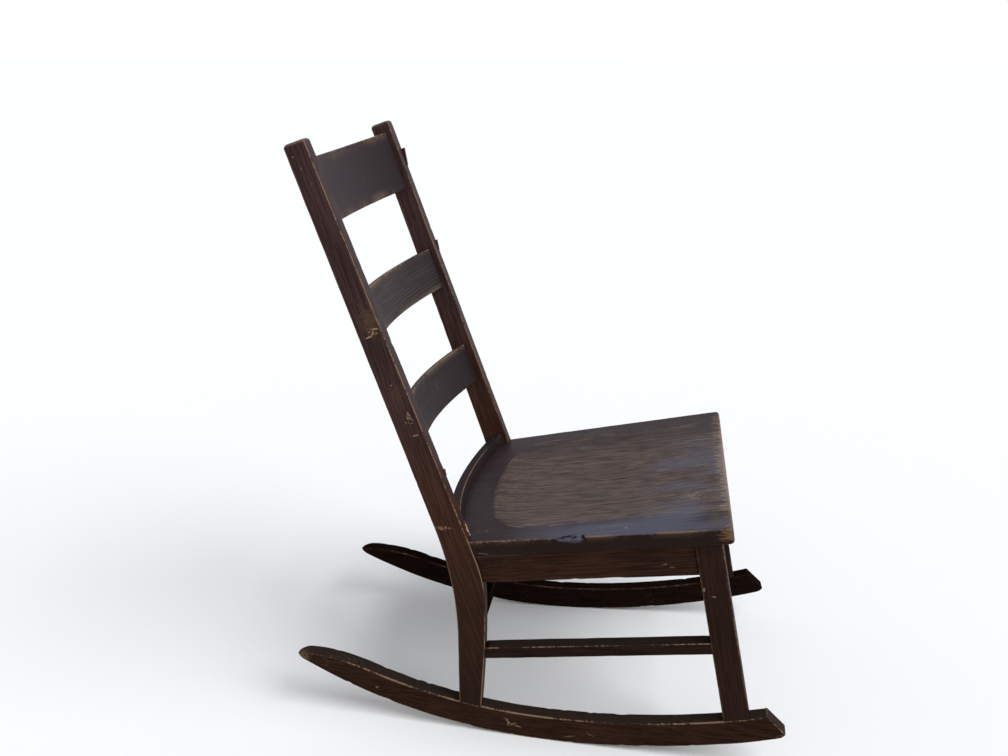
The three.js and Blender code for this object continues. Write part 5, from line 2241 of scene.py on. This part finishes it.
    def cuts(self) -> list[tuple[Vector, float]]:
        """Planes that cut the seat into cells, finer near its sides and at the chip."""
        places = []
        x = 0.0
        while x < self.front_half:
            places += [(ACROSS, x), (ACROSS, -x)] if x else [(ACROSS, x)]
            x += self.cell if x < self.edge_band else self.edge_cell
        y = self.front_edge + self.edge_cell
        rear = self.along(PLAN.post_seat_setback)
        while y < rear:
            places.append((BACKWARDS, y))
            near_chip = self.chip_front - self.cell < y < self.chip_rear
            y += self.edge_cell if near_chip else self.cell
        return places

    def chip(self, x: float, y: float, z: float) -> float:
        """How far the splintered chip in the right edge lowers a point.

        Args:
            x: The point across.
            y: The point along the slope.
            z: Its level in the seat's frame.

        Returns:
            The fall.
        """
        share = (self.chip_rear - y) / (self.chip_rear - self.chip_front)
        if not 0 < share < 1 or x > 0:
            return 0.0
        closing = 1 - smooth_step(self.chip_end_share, 1.0, share)
        contour = self.chip_inset * share**self.chip_power * closing
        inwards = self.half_at(y) - abs(x)
        cut = 1 - smooth_step(*self.chip_lip_shares, inwards / max(contour, self.chip_least))
        ridges = 1 + self.ridge_share * math.sin(y / self.ridge_pitch + self.ridge_slant * inwards)
        level = 1 - smooth_step(0.0, self.chip_level, -z)
        return self.chip_depth * cut * ridges * level * smooth_step(0.0, self.chip_start_share, share)

    def build(self) -> Piece:
        """Makes the seat and puts it in place of its CAD node."""
        work = self.blank()
        thickness = PLAN.seat_thickness
        rims = []
        for level in (0.0, -thickness):
            points, free = self.outline(level)
            rims.append(np.array([tuple(point) for point in points[:free]]))
        middle = (1 - math.sqrt(0.5)) * self.eased_edge
        distances = []
        spreads = []
        for vert in work.verts:
            x, y, z = vert.co
            near_top = max(edge_distance(rims[0], x, y), -z)
            near_under = max(edge_distance(rims[1], x, y), z + thickness)
            edge = max(0.0, min(near_top, near_under + self.unworn) - middle)
            drop = self.chip(x, y, z)
            distances.append(EDGE_LIMIT if drop > 0 else min(EDGE_LIMIT, edge))
            spreads.append(self.spread(x, y))
            share = 1 + z / thickness
            wave = self.warp * wander(x + self.warp_skew * y, self.warp_seed, self.warp_pitch)
            vert.co.z += share * (self.scoop(x, y) + wave) - drop
        mesh = bpy.data.meshes.new("worn_seat")
        work.to_mesh(mesh)
        work.free()
        mesh.attributes.new(EDGE_ATTRIBUTE, "FLOAT", "POINT").data.foreach_set("value", distances)
        mesh.attributes.new(SCOOP_ATTRIBUTE, "FLOAT", "POINT").data.foreach_set("value", spreads)
        for polygon in mesh.polygons:
            polygon.use_smooth = True
        mesh.set_sharp_from_angle(angle=math.radians(self.sharp_angle))
        return settle(link_new("worn_seat", mesh), ["seat"], Slot.SEAT, PLAN.seat_frame())

    def at(self, x: float, y: float, z: float = 0.0) -> Vector:
        """A place in the seat's frame, in the part's own frame."""
        return in_part(PLAN.seat_frame(), (x, y, z))

    def thread(self, x: float, y: float, length: float, turn: float, strength: float = 0.45) -> Mark:
        """A thin cream line on the top, turned by degrees in plan."""
        reach = (0.0013, length / 2, MARK_DEPTH)
        return Mark(self.at(x, y), reach, self.CREAM, strength, 0.7, 330.0, turn_flat=turn, softness=0.7)

    def marks(self) -> Sequence[Mark]:
        """Rubbed and dark places, flecks and threads on the top, and the marks of the right edge, whose chip
        has painted shadow.
        """
        at = self.at
        thread = self.thread
        deep = MARK_DEPTH
        pale = (0.27, 0.24, 0.22)
        flesh = (0.27, 0.195, 0.145)
        rust = (0.14, 0.080, 0.046)
        slate = (0.062, 0.058, 0.075)
        brown = (0.075, 0.058, 0.050)
        dark = (0.008, 0.006, 0.0065)
        front = self.front_edge
        beside = -self.half_at(0.085)
        return [
            Mark(at(-0.195, front + 0.018), (0.030, 0.028, deep), brown, 0.55, 0.3, 70.0, softness=0.9),
            Mark(at(0.0, front), (0.230, 0.016, 0.012), flesh, 0.65, 0.9, 330.0, 6.0, softness=0.8),
            Mark(at(-0.1105, -0.2113), (0.012, 0.016, deep), pale, 0.35, 1.6, 420.0, softness=0.7),
            Mark(at(-0.0607, -0.0571), (0.003, 0.008, deep), pale, 0.3, 1.2, 420.0, softness=0.7),
            Mark(at(-0.1954, -0.1211), (0.003, 0.003, deep), pale, 0.5, 0.9, 500.0, softness=0.6),
            Mark(at(-0.1665, 0.0965), (0.0012, 0.003, deep), pale, 0.5, 0.5, 420.0, softness=0.6),
            Mark(at(-0.1690, 0.0840), (0.0014, 0.004, deep), pale, 0.5, 0.5, 420.0, softness=0.6),
            Mark(at(beside, 0.085, -0.0195), (0.003, 0.012, 0.0010), pale, 0.3, 0.8, 450.0, softness=0.7),
            Mark(
                at(-0.226, front + 0.004, -0.010),
                (0.014, 0.020, 0.014),
                rust,
                strength=0.6,
                raggedness=0.6,
                fineness=330.0,
                stretch=4.0,
                softness=0.8,
            ),
            Mark(at(-0.2110, -0.0400, -0.003), (0.0075, 0.025, 0.006), slate, 0.6, 0.2, 110.0, softness=0.5),
            # Painted shadow: the dark marks below are the shade under the chip's lip, at its right end and
            # along its wall
            Mark(at(-0.2130, -0.0450, -0.0065), (0.006, 0.020, 0.0010), dark, 0.6, 0.5, 300.0, softness=0.6),
            Mark(at(-0.2080, -0.0625, -0.002), (0.007, 0.0025, 0.006), dark, 0.5, 0.3, softness=0.6),
            Mark(
                at(-0.2045, -0.044), (0.001, 0.022, deep), dark, 0.7, 0.4, 330.0, turn_flat=-9, softness=0.6
            ),
            thread(-0.157, 0.024, 0.055, 23, 0.6),
            thread(-0.167, -0.022, 0.046, -1, 0.6),
            thread(-0.165, -0.058, 0.028, -8, 0.5),
            thread(-0.157, -0.105, 0.070, -10, 0.4),
            thread(-0.159, -0.178, 0.090, 10, 0.35),
            thread(-0.100, -0.176, 0.076, -4),
            thread(-0.097, -0.235, 0.050, 0, 0.55),
            thread(-0.003, -0.151, 0.073, -12),
            thread(0.002, -0.224, 0.074, 3, 0.5),
            thread(0.062, -0.030, 0.114, -2, 0.35),
            thread(0.157, -0.022, 0.126, -6, 0.35),
            thread(0.174, -0.212, 0.106, -17, 0.4),
        ]

    def dress(self, seat: Piece, groups: ShaderGroups) -> None:
        """Gives the seat its own finish, with grain from front to back.

        Args:
            seat: The seat.
            groups: The shared node groups.
        """
        turn = PLAN.seat_frame().to_3x3()
        pith = (0.0, 0.30, 0.10)
        grain = Grain(turn @ BACKWARDS, turn @ UP, self.at(0, 0.4), pith, ring_width=0.0055)
        SEAT_OAK.dress(seat, groups, Dressing("seat_oak", grain, marks=self.marks()))


def edge_distance(line: np.ndarray, x: float, y: float) -> float:
    """How far a point lies from a line of straight pieces.

    Args:
        line: The line's corners, one in each row.
        x: The point across.
        y: The point along.

    Returns:
        The distance.
    """
    start = line[:-1]
    way = np.diff(line, axis=0)
    to_point = np.array((x, y)) - start
    share = np.clip((to_point * way).sum(axis=1) / (way**2).sum(axis=1), 0.0, 1.0)
    return float(np.sqrt(((to_point - way * share[:, None]) ** 2).sum(axis=1)).min())


# Geometry node trees


class TreeDraft(NodeBench):
    """A geometry node tree while it is being made."""

    def __init__(self, name: str, inputs: dict[str, object]) -> None:
        """Starts the tree with named inputs.

        Args:
            name: The tree's name.
            inputs: Usual value of each input; None stands for a material.
        """
        super().__init__(bpy.data.node_groups.new(name, "GeometryNodeTree"))
        shared = self.tree.interface
        shared.new_socket(name="Geometry", in_out="OUTPUT", socket_type="NodeSocketGeometry")
        shared.new_socket(name="Geometry", in_out="INPUT", socket_type="NodeSocketGeometry")
        for label, value in inputs.items():
            kind = {type(None): "Material", int: "Int", float: "Float"}[type(value)]
            socket = shared.new_socket(name=label, in_out="INPUT", socket_type=f"NodeSocket{kind}")
            if value is not None:
                socket.default_value = value
        self.given = self.add("NodeGroupInput").outputs
        self.result = self.add("NodeGroupOutput").inputs

    def step(self, kind: str, inputs: Optional[dict[object, object]] = None, **settings: object) -> Socket:
        """Adds a node and gives its first output."""
        return self.add(kind, inputs, **settings).outputs[0]

    def store(self, geometry: Socket, label: str, value: object, kind: str) -> Socket:
        """Stores a named attribute on the points of a geometry."""
        inputs = {"Geometry": geometry, "Name": label, "Value": value}
        return self.step("GeometryNodeStoreNamedAttribute", inputs, data_type=kind, domain="POINT")

    def recall(self, label: str, kind: str) -> Socket:
        """Reads a named attribute."""
        return self.step("GeometryNodeInputNamedAttribute", {"Name": label}, data_type=kind)

    def finish(self, geometry: Socket) -> Tree:
        """Ends the tree in Realize Instances and Set Material.

        Args:
            geometry: What the tree has made.

        Returns:
            The finished tree.
        """
        plain = self.step("GeometryNodeRealizeInstances", {"Geometry": geometry})
        inputs = {"Geometry": plain, "Material": self.given["Material"]}
        self.feed(self.result[0], self.step("GeometryNodeSetMaterial", inputs))
        return self.tree


def made_by(tree: Tree, name: str, start: bpy.types.Mesh, values: dict[str, object]) -> Piece:
    """Runs a geometry node tree once and keeps its result as a plain mesh.

    Args:
        tree: The tree.
        name: Name of the new piece.
        start: The mesh that the tree starts from.
        values: The tree's inputs by name.

    Returns:
        The new piece, without any modifier.
    """
    source = link_new(f"{name}_source", start)
    modifier = source.modifiers.new("make", "NODES")
    modifier.node_group = tree
    for item in tree.interface.items_tree:
        if item.item_type == "SOCKET" and item.in_out == "INPUT" and item.name in values:
            modifier[item.identifier] = values[item.name]
    graph = bpy.context.evaluated_depsgraph_get()
    made = source.evaluated_get(graph)
    mesh = bpy.data.meshes.new_from_object(made, preserve_all_data_layers=True, depsgraph=graph)
    mesh.name = name
    source.modifiers.clear()
    bpy.data.objects.remove(source)
    return link_new(name, mesh)


def bent_slat_tree() -> Tree:
    """Tree of a slat bent to an arc, with rounded arrises and each point's place in its board."""
    draft = TreeDraft(
        "Bent slat",
        {
            "Half Span": 0.18,
            "End Depth": 0.0,
            "Middle Depth": 0.04,
            "Thickness": 0.01,
            "Height": 0.07,
            "Arris Radius": 0.0015,
            "Waviness": 0.0003,
            "Stations": 90,
            "Seed": 0,
            "Material": None,
        },
    )
    given = draft.given
    left_out = draft.times(given["Half Span"], -1.0)
    places = {
        "Resolution": given["Stations"],
        "Start": draft.joined(left_out, given["End Depth"], 0.0),
        "Middle": draft.joined(0.0, given["Middle Depth"], 0.0),
        "End": draft.joined(given["Half Span"], given["End Depth"], 0.0),
    }
    arc = draft.step("GeometryNodeCurveArc", places, mode="POINTS")
    whole = draft.step("GeometryNodeCurveLength", {"Curve": arc})
    run = draft.add("GeometryNodeSplineParameter").outputs["Length"]
    centred = draft.less(run, draft.times(whole, 0.5))
    arc = draft.store(arc, "run", centred, "FLOAT")
    arc = draft.step("GeometryNodeSetCurveNormal", {"Curve": arc}, mode="Z_UP")
    sides = {"Width": given["Thickness"], "Height": given["Height"]}
    section = draft.step("GeometryNodeCurvePrimitiveQuadrilateral", sides)
    rounding = {"Curve": section, "Count": 4, "Radius": given["Arris Radius"], "Limit Radius": True}
    section = draft.step("GeometryNodeFilletCurve", rounding, mode="POLY")
    section = draft.step("GeometryNodeSubdivideCurve", {"Curve": section, "Cuts": 5})
    section = draft.store(section, "profile", draft.step("GeometryNodeInputPosition"), "FLOAT_VECTOR")
    swept = {"Curve": arc, "Profile Curve": section, "Fill Caps": True}
    slat = draft.step("GeometryNodeCurveToMesh", swept)
    deep, tall, _ = draft.parts(draft.recall("profile", "FLOAT_VECTOR"))
    run = draft.recall("run", "FLOAT")
    board = draft.joined(run, tall, deep)
    slat = draft.store(slat, SECTION_ATTRIBUTE, board, "FLOAT_VECTOR")
    spot = draft.joined(draft.times(run, 22.0), draft.times(tall, 40.0), given["Seed"])
    sway = draft.step("ShaderNodeTexNoise", {"Vector": spot, "Scale": 1.0, "Detail": 2.0})
    push = draft.times(draft.less(sway, 0.5), given["Waviness"])
    normal = draft.step("GeometryNodeInputNormal")
    offset = draft.step("ShaderNodeVectorMath", {0: normal, "Scale": push}, operation="SCALE")
    slat = draft.step("GeometryNodeSetPosition", {"Geometry": slat, "Offset": offset})
    slat = draft.step("GeometryNodeSetShadeSmooth", {"Geometry": slat})
    return draft.finish(slat)


def screw_tree() -> Tree:
    """Tree of slotted countersunk wood screws, one at each point, along the point's way."""
    draft = TreeDraft(
        "Slotted screws",
        {
            "Length": 0.042,
            "Shank Radius": 0.0022,
            "Head Radius": 0.0042,
            "Head Height": 0.0032,
            "Slot Width": 0.001,
            "Slot Depth": 0.0012,
            "Tip Length": 0.005,
            "Seed": 0,
            "Material": None,
        },
    )
    given = draft.given
    shank_end = draft.less(given["Length"], given["Tip Length"])
    round_part = {"Vertices": 32}
    cone = round_part | {"Radius Bottom": given["Head Radius"], "Radius Top": given["Shank Radius"]}
    head = draft.step("GeometryNodeMeshCone", cone | {"Depth": given["Head Height"]})
    slot_length = draft.times(given["Head Radius"], 3.0)
    slot_height = draft.times(given["Slot Depth"], 2.0)
    size = draft.joined(slot_length, given["Slot Width"], slot_height)
    slot = draft.step("GeometryNodeMeshCube", {"Size": size})
    cut = draft.step("GeometryNodeMeshBoolean", {"Mesh 1": head, "Mesh 2": slot}, operation="DIFFERENCE")
    shank_length = draft.less(shank_end, given["Head Height"])
    sizes = {"Radius": given["Shank Radius"], "Depth": shank_length}
    shank = draft.step("GeometryNodeMeshCylinder", round_part | sizes)
    middle = draft.fused(shank_length, 0.5, given["Head Height"])
    lift = {"Geometry": shank, "Translation": draft.joined(0.0, 0.0, middle)}
    shank_part = draft.step("GeometryNodeTransform", lift)
    cone = round_part | {"Radius Bottom": given["Shank Radius"], "Radius Top": SCREW_POINT_RADIUS}
    tip = draft.step("GeometryNodeMeshCone", cone | {"Depth": given["Tip Length"]})
    lift = {"Geometry": tip, "Translation": draft.joined(0.0, 0.0, shank_end)}
    tip_part = draft.step("GeometryNodeTransform", lift)
    join = draft.add("GeometryNodeJoinGeometry")
    for part in (cut, shank_part, tip_part):
        draft.tree.links.new(part, join.inputs[0])
    way = draft.recall("way", "FLOAT_VECTOR")
    turn = draft.step("FunctionNodeAlignEulerToVector", {"Vector": way}, axis="Z")
    chance = draft.add("FunctionNodeRandomValue", data_type="FLOAT")
    chance_seed = next(item for item in chance.inputs if item.name == "Seed")
    draft.feed(chance_seed, given["Seed"])
    ranges = [item for item in chance.inputs if item.type == "VALUE" and item.enabled]
    draft.feed(ranges[0], 0.0)
    draft.feed(ranges[1], math.pi)
    value = next(item for item in chance.outputs if item.type == "VALUE")
    spin = {"Rotation": turn, "Axis": UP, "Angle": value}
    spun = draft.step("FunctionNodeRotateEuler", spin, rotation_type="AXIS_ANGLE", space="LOCAL")
    placed = {"Points": given["Geometry"], "Instance": join.outputs[0], "Rotation": spun}
    return draft.finish(draft.step("GeometryNodeInstanceOnPoints", placed))


# Bent slats and the bent rail of the back


@dataclass(frozen=True)
class BentPiece:
    """A piece of the back bent to an arc in plan, bowing backwards between the posts.

    Args:
        name: Name of its CAD node.
        top: Level of its upper edge along the lean.
        bow: How far its middle stands behind its ends.
        forward: How far its ends stand before the middle of the posts.
        arris: Radius along its arrises.
        sink: How far it runs into the posts.
        seed: Which noise its waviness follows.
    """

    name: str
    top: float
    height: float
    thickness: float = 0.010
    bow: float = 0.040
    forward: float = 0.0
    arris: float = 0.0018
    sink: float = 0.002
    seed: int = 1
    BOARD_STEP = 0.31

    @property
    def level(self) -> float:
        """Level of its middle along the lean."""
        return self.top - self.height / 2

    def arc(self) -> tuple[float, float, float]:
        """Half span between the posts, radius and centre of its arc."""
        half = PLAN.post_inner((PLAN.back_frame(self.level) @ Vector()).z)
        radius = (half**2 + self.bow**2) / (2 * self.bow)
        return half, radius, self.bow - radius - self.forward

    def material(self, groups: ShaderGroups) -> bpy.types.Material:
        """Makes the piece's own material.

        Args:
            groups: The shared node groups.

        Returns:
            The material.
        """
        origin = Vector((self.BOARD_STEP * self.seed, 0.0, 0.0))
        grain = Grain(ACROSS, BACKWARDS, origin, pith=(0.0, 0.11, 0.015))
        section = (self.thickness / 2, self.height / 2, self.arris)
        dressing = Dressing(f"{self.name}_oak", grain, EdgeSource.SECTION, section)
        return SLAT_FINISHES[self.name].material(groups, dressing)

    def build(self, tree: Tree, material: bpy.types.Material) -> Piece:
        """Makes the piece by its node tree and puts it in place of its CAD node.

        Args:
            tree: The bent slats' tree.
            material: The piece's material.

        Returns:
            The new piece.
        """
        half, radius, centre = self.arc()
        reach = half + self.sink
        values = {
            "Half Span": reach,
            "End Depth": centre + math.sqrt(radius**2 - reach**2),
            "Middle Depth": centre + radius,
            "Thickness": self.thickness,
            "Height": self.height,
            "Arris Radius": self.arris,
            "Seed": self.seed,
            "Material": material,
        }
        piece = made_by(tree, f"worn_{self.name}", bpy.data.meshes.new(f"{self.name}_start"), values)
        face_outwards(piece.data)
        return settle(piece, [self.name], Slot.BACK, PLAN.back_frame(self.level))


BACK_RAIL = BentPiece("back_rail", top=0.008, height=0.080, thickness=0.017, bow=0.027, forward=0.005, seed=4)
SLATS = (
    BentPiece("crest_slat", top=0.562, height=0.097, seed=1),
    BentPiece("middle_slat", top=0.358, height=0.069, seed=2),
    BentPiece("lower_slat", top=0.182, height=0.069, seed=3),
)


# Screws and corner blocks


@dataclass(frozen=True)
class ScrewSet:
    """Screws of one length, two for each side of the chair.

    Args:
        name: What the set holds together, as its CAD nodes spell it.
        length: Length of each screw.
        front: Start and direction of the left front one.
        rear: Start and direction of the left rear one.
        seed: Which way the slots are turned.
    """

    name: str
    length: float
    front: tuple[Place, Place]
    rear: tuple[Place, Place]
    seed: int

    def material(self, groups: ShaderGroups) -> bpy.types.Material:
        """The screws' steel, which needs none of the shared groups."""
        return ScrewSteel().material(f"{self.name}_steel")

    def build(self, tree: Tree, material: bpy.types.Material) -> Piece:
        """Makes the screws by their node tree and puts them in place of their CAD nodes.

        Args:
            tree: The screws' tree.
            material: Their material.

        Returns:
            The new piece.
        """
        starts = []
        ways = []
        nodes = []
        for side in Side:
            for end, (start, way) in ((End.FRONT, self.front), (End.REAR, self.rear)):
                starts.append((side.value * start[0], start[1], start[2]))
                ways += [side.value * way[0], way[1], way[2]]
                nodes.append(f"{self.name}_{end.value}_{side.word}")
        mesh = bpy.data.meshes.new(f"{self.name}_points")
        mesh.from_pydata(starts, [], [])
        mesh.attributes.new("way", "FLOAT_VECTOR", "POINT").data.foreach_set("vector", ways)
        values = {"Length": self.length, "Seed": self.seed, "Material": material}
        return settle(made_by(tree, f"slotted_{self.name}s", mesh, values), nodes, Slot.SCREWS)


SCREWS = (
    ScrewSet(
        "rocker_screw",
        length=0.042,
        front=((0.20252, -0.2965, 0.04438), (-0.0093, 0.2025, 0.9792)),
        rear=((0.18545, 0.105, 0.01175), (0.0132, 0.0, 0.9999)),
        seed=5,
    ),
    ScrewSet(
        "corner_screw",
        length=0.050,
        front=((0.16698, -0.20519, 0.34267), (0.7071, -0.6962, 0.1239)),
        rear=((0.15918, 0.07501, 0.29279), (0.7071, 0.6962, -0.1239)),
        seed=6,
    ),
    ScrewSet(
        "seat_screw",
        length=0.032,
        front=((0.15892, -0.22254, 0.33611), (0.0, 0.1752, 0.9845)),
        rear=((0.14842, 0.09478, 0.27963), (0.0, 0.1752, 0.9845)),
        seed=7,
    ),
)


@dataclass(frozen=True)
class CornerBlocks:
    """The corner blocks under the seat, whose CAD nodes stay and get bare oak."""

    pith: Place = (0.0, 0.02, 0.04)

    def dress(self, groups: ShaderGroups) -> list[Piece]:
        """Gives each block its own board of bare oak.

        Args:
            groups: The shared node groups.

        Returns:
            The blocks.
        """
        blocks = []
        for side in Side:
            for end in End:
                name = f"corner_block_{end.value}_{side.word}"
                low, high = (Vector(corner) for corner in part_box(name))
                along = Vector((side.value, 1 if end is End.REAR else -1, 0))
                grain = Grain(along, UP, low.lerp(high, 0.5), self.pith)
                blocks.append(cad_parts[name])
                BLOCK_OAK.dress(blocks[-1], groups, Dressing(f"{name}_oak", grain, EdgeSource.NONE))
        return blocks


# Studio


@dataclass
class Studio:
    """The plain pale floor, the soft lights and the camera at the photograph's angle.

    The sensor and the lens are in millimetres, as the camera's own settings are.
    """

    floor_reach: float = 60.0
    camera_place: Place = (-1.457, -0.1604, 1.0043)
    camera_way: Place = (0.9358, 0.1487, -0.3196)
    sensor_width: float = 36.0
    lens: float = 35.714
    floor_tone: float = 0.86
    front_way: Place = (0.35, 0.95, -1.05)
    front_tint: Colour = (0.96, 0.98, 1.0)
    side_way: Place = (0.9, 0.1, -0.55)
    side_tint: Colour = (1.0, 0.93, 0.85)
    sky_low: Colour = (1.0, 1.0, 1.0)
    sky_high: Colour = (0.30, 0.32, 0.36)

    def build(self) -> None:
        """Makes the floor, the lights and the camera."""
        bpy.context.scene.view_settings.view_transform = "Standard"
        self.floor()
        self.sky()
        self.sun("studio_front_light", self.front_way, strength=2.6, softness=40.0, colour=self.front_tint)
        self.sun("studio_side_light", self.side_way, strength=0.5, softness=60.0, colour=self.side_tint)
        self.camera()

    def floor(self) -> None:
        """Makes the floor."""
        reach = self.floor_reach
        corners = [(x * reach, y * reach, 0) for x, y in ((-1, -1), (1, -1), (1, 1), (-1, 1))]
        mesh = bpy.data.meshes.new("studio_floor")
        mesh.from_pydata(corners, [], [(0, 1, 2, 3)])
        material = bpy.data.materials.new("studio_paper")
        material.use_nodes = True
        shader = material.node_tree.nodes["Principled BSDF"]
        shader.inputs["Base Color"].default_value = (self.floor_tone, self.floor_tone, self.floor_tone, 1.0)
        shader.inputs["Roughness"].default_value = 1.0
        shader.inputs["Specular IOR Level"].default_value = 0.0
        mesh.materials.append(material)
        link_new("studio_floor", mesh)

    def sky(self) -> None:
        """Makes the surroundings, white above the floor's edge and greyer overhead."""
        world = bpy.data.worlds.new("studio_surroundings")
        world.use_nodes = True
        world.node_tree.nodes.clear()
        bench = NodeBench(world.node_tree)
        way = bench.add("ShaderNodeTexCoord").outputs["Generated"]
        upward = bench.parts(way)[2]
        colour = bench.blend(bench.ramp(upward, 0.2, 0.8), self.sky_low, self.sky_high)
        background = bench.add("ShaderNodeBackground")
        bench.feed(background.inputs["Color"], colour)
        bench.feed(bench.add("ShaderNodeOutputWorld").inputs["Surface"], background.outputs[0])
        bpy.context.scene.world = world

    def sun(self, name: str, way: Place, strength: float, softness: float, colour: Colour) -> None:
        """Makes a broad soft light.

        Args:
            name: The light's name.
            way: Direction in which it shines.
            strength: Its strength.
            softness: Its apparent width in degrees.
            colour: Its colour.
        """
        data = bpy.data.lights.new(name, "SUN")
        data.energy = strength
        data.angle = math.radians(softness)
        data.color = colour
        light = bpy.data.objects.new(name, data)
        light.rotation_euler = Vector(way).to_track_quat("-Z", "Y").to_euler()
        bpy.context.scene.collection.objects.link(light)

    def camera(self) -> None:
        """Makes the camera."""
        data = bpy.data.cameras.new("studio_camera")
        data.sensor_width = self.sensor_width
        data.lens = self.lens
        camera = bpy.data.objects.new("studio_camera", data)
        camera.location = self.camera_place
        camera.rotation_euler = Vector(self.camera_way).to_track_quat("-Z", "Y").to_euler()
        bpy.context.scene.collection.objects.link(camera)
        bpy.context.scene.camera = camera


# Making the chair


def report(piece: Piece) -> None:
    """Logs a finished piece."""
    LOG.info("%s: %d faces", piece.name, len(piece.data.polygons))


def main() -> None:
    """Builds and dresses the chair piece by piece and sets up the studio."""
    logging.basicConfig(level=logging.INFO, format="%(message)s")
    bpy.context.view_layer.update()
    groups = ShaderGroups()
    parts = [kind(side) for side in Side for kind in (Rocker, FrontLeg, RearPost, SideRail, SideStretcher)]
    parts += [FrontRail(), CrossStretcher(End.FRONT), CrossStretcher(End.REAR), Seat(), *SPLINTERS]
    for part in parts:
        piece = part.build()
        part.dress(piece, groups)
        report(piece)
    made = [(SLATS + (BACK_RAIL,), bent_slat_tree()), (SCREWS, screw_tree())]
    for repeated, tree in made:
        for part in repeated:
            report(part.build(tree, part.material(groups)))
    for block in CornerBlocks().dress(groups):
        report(block)
    Studio().build()


if __name__ == "__main__":
    main()
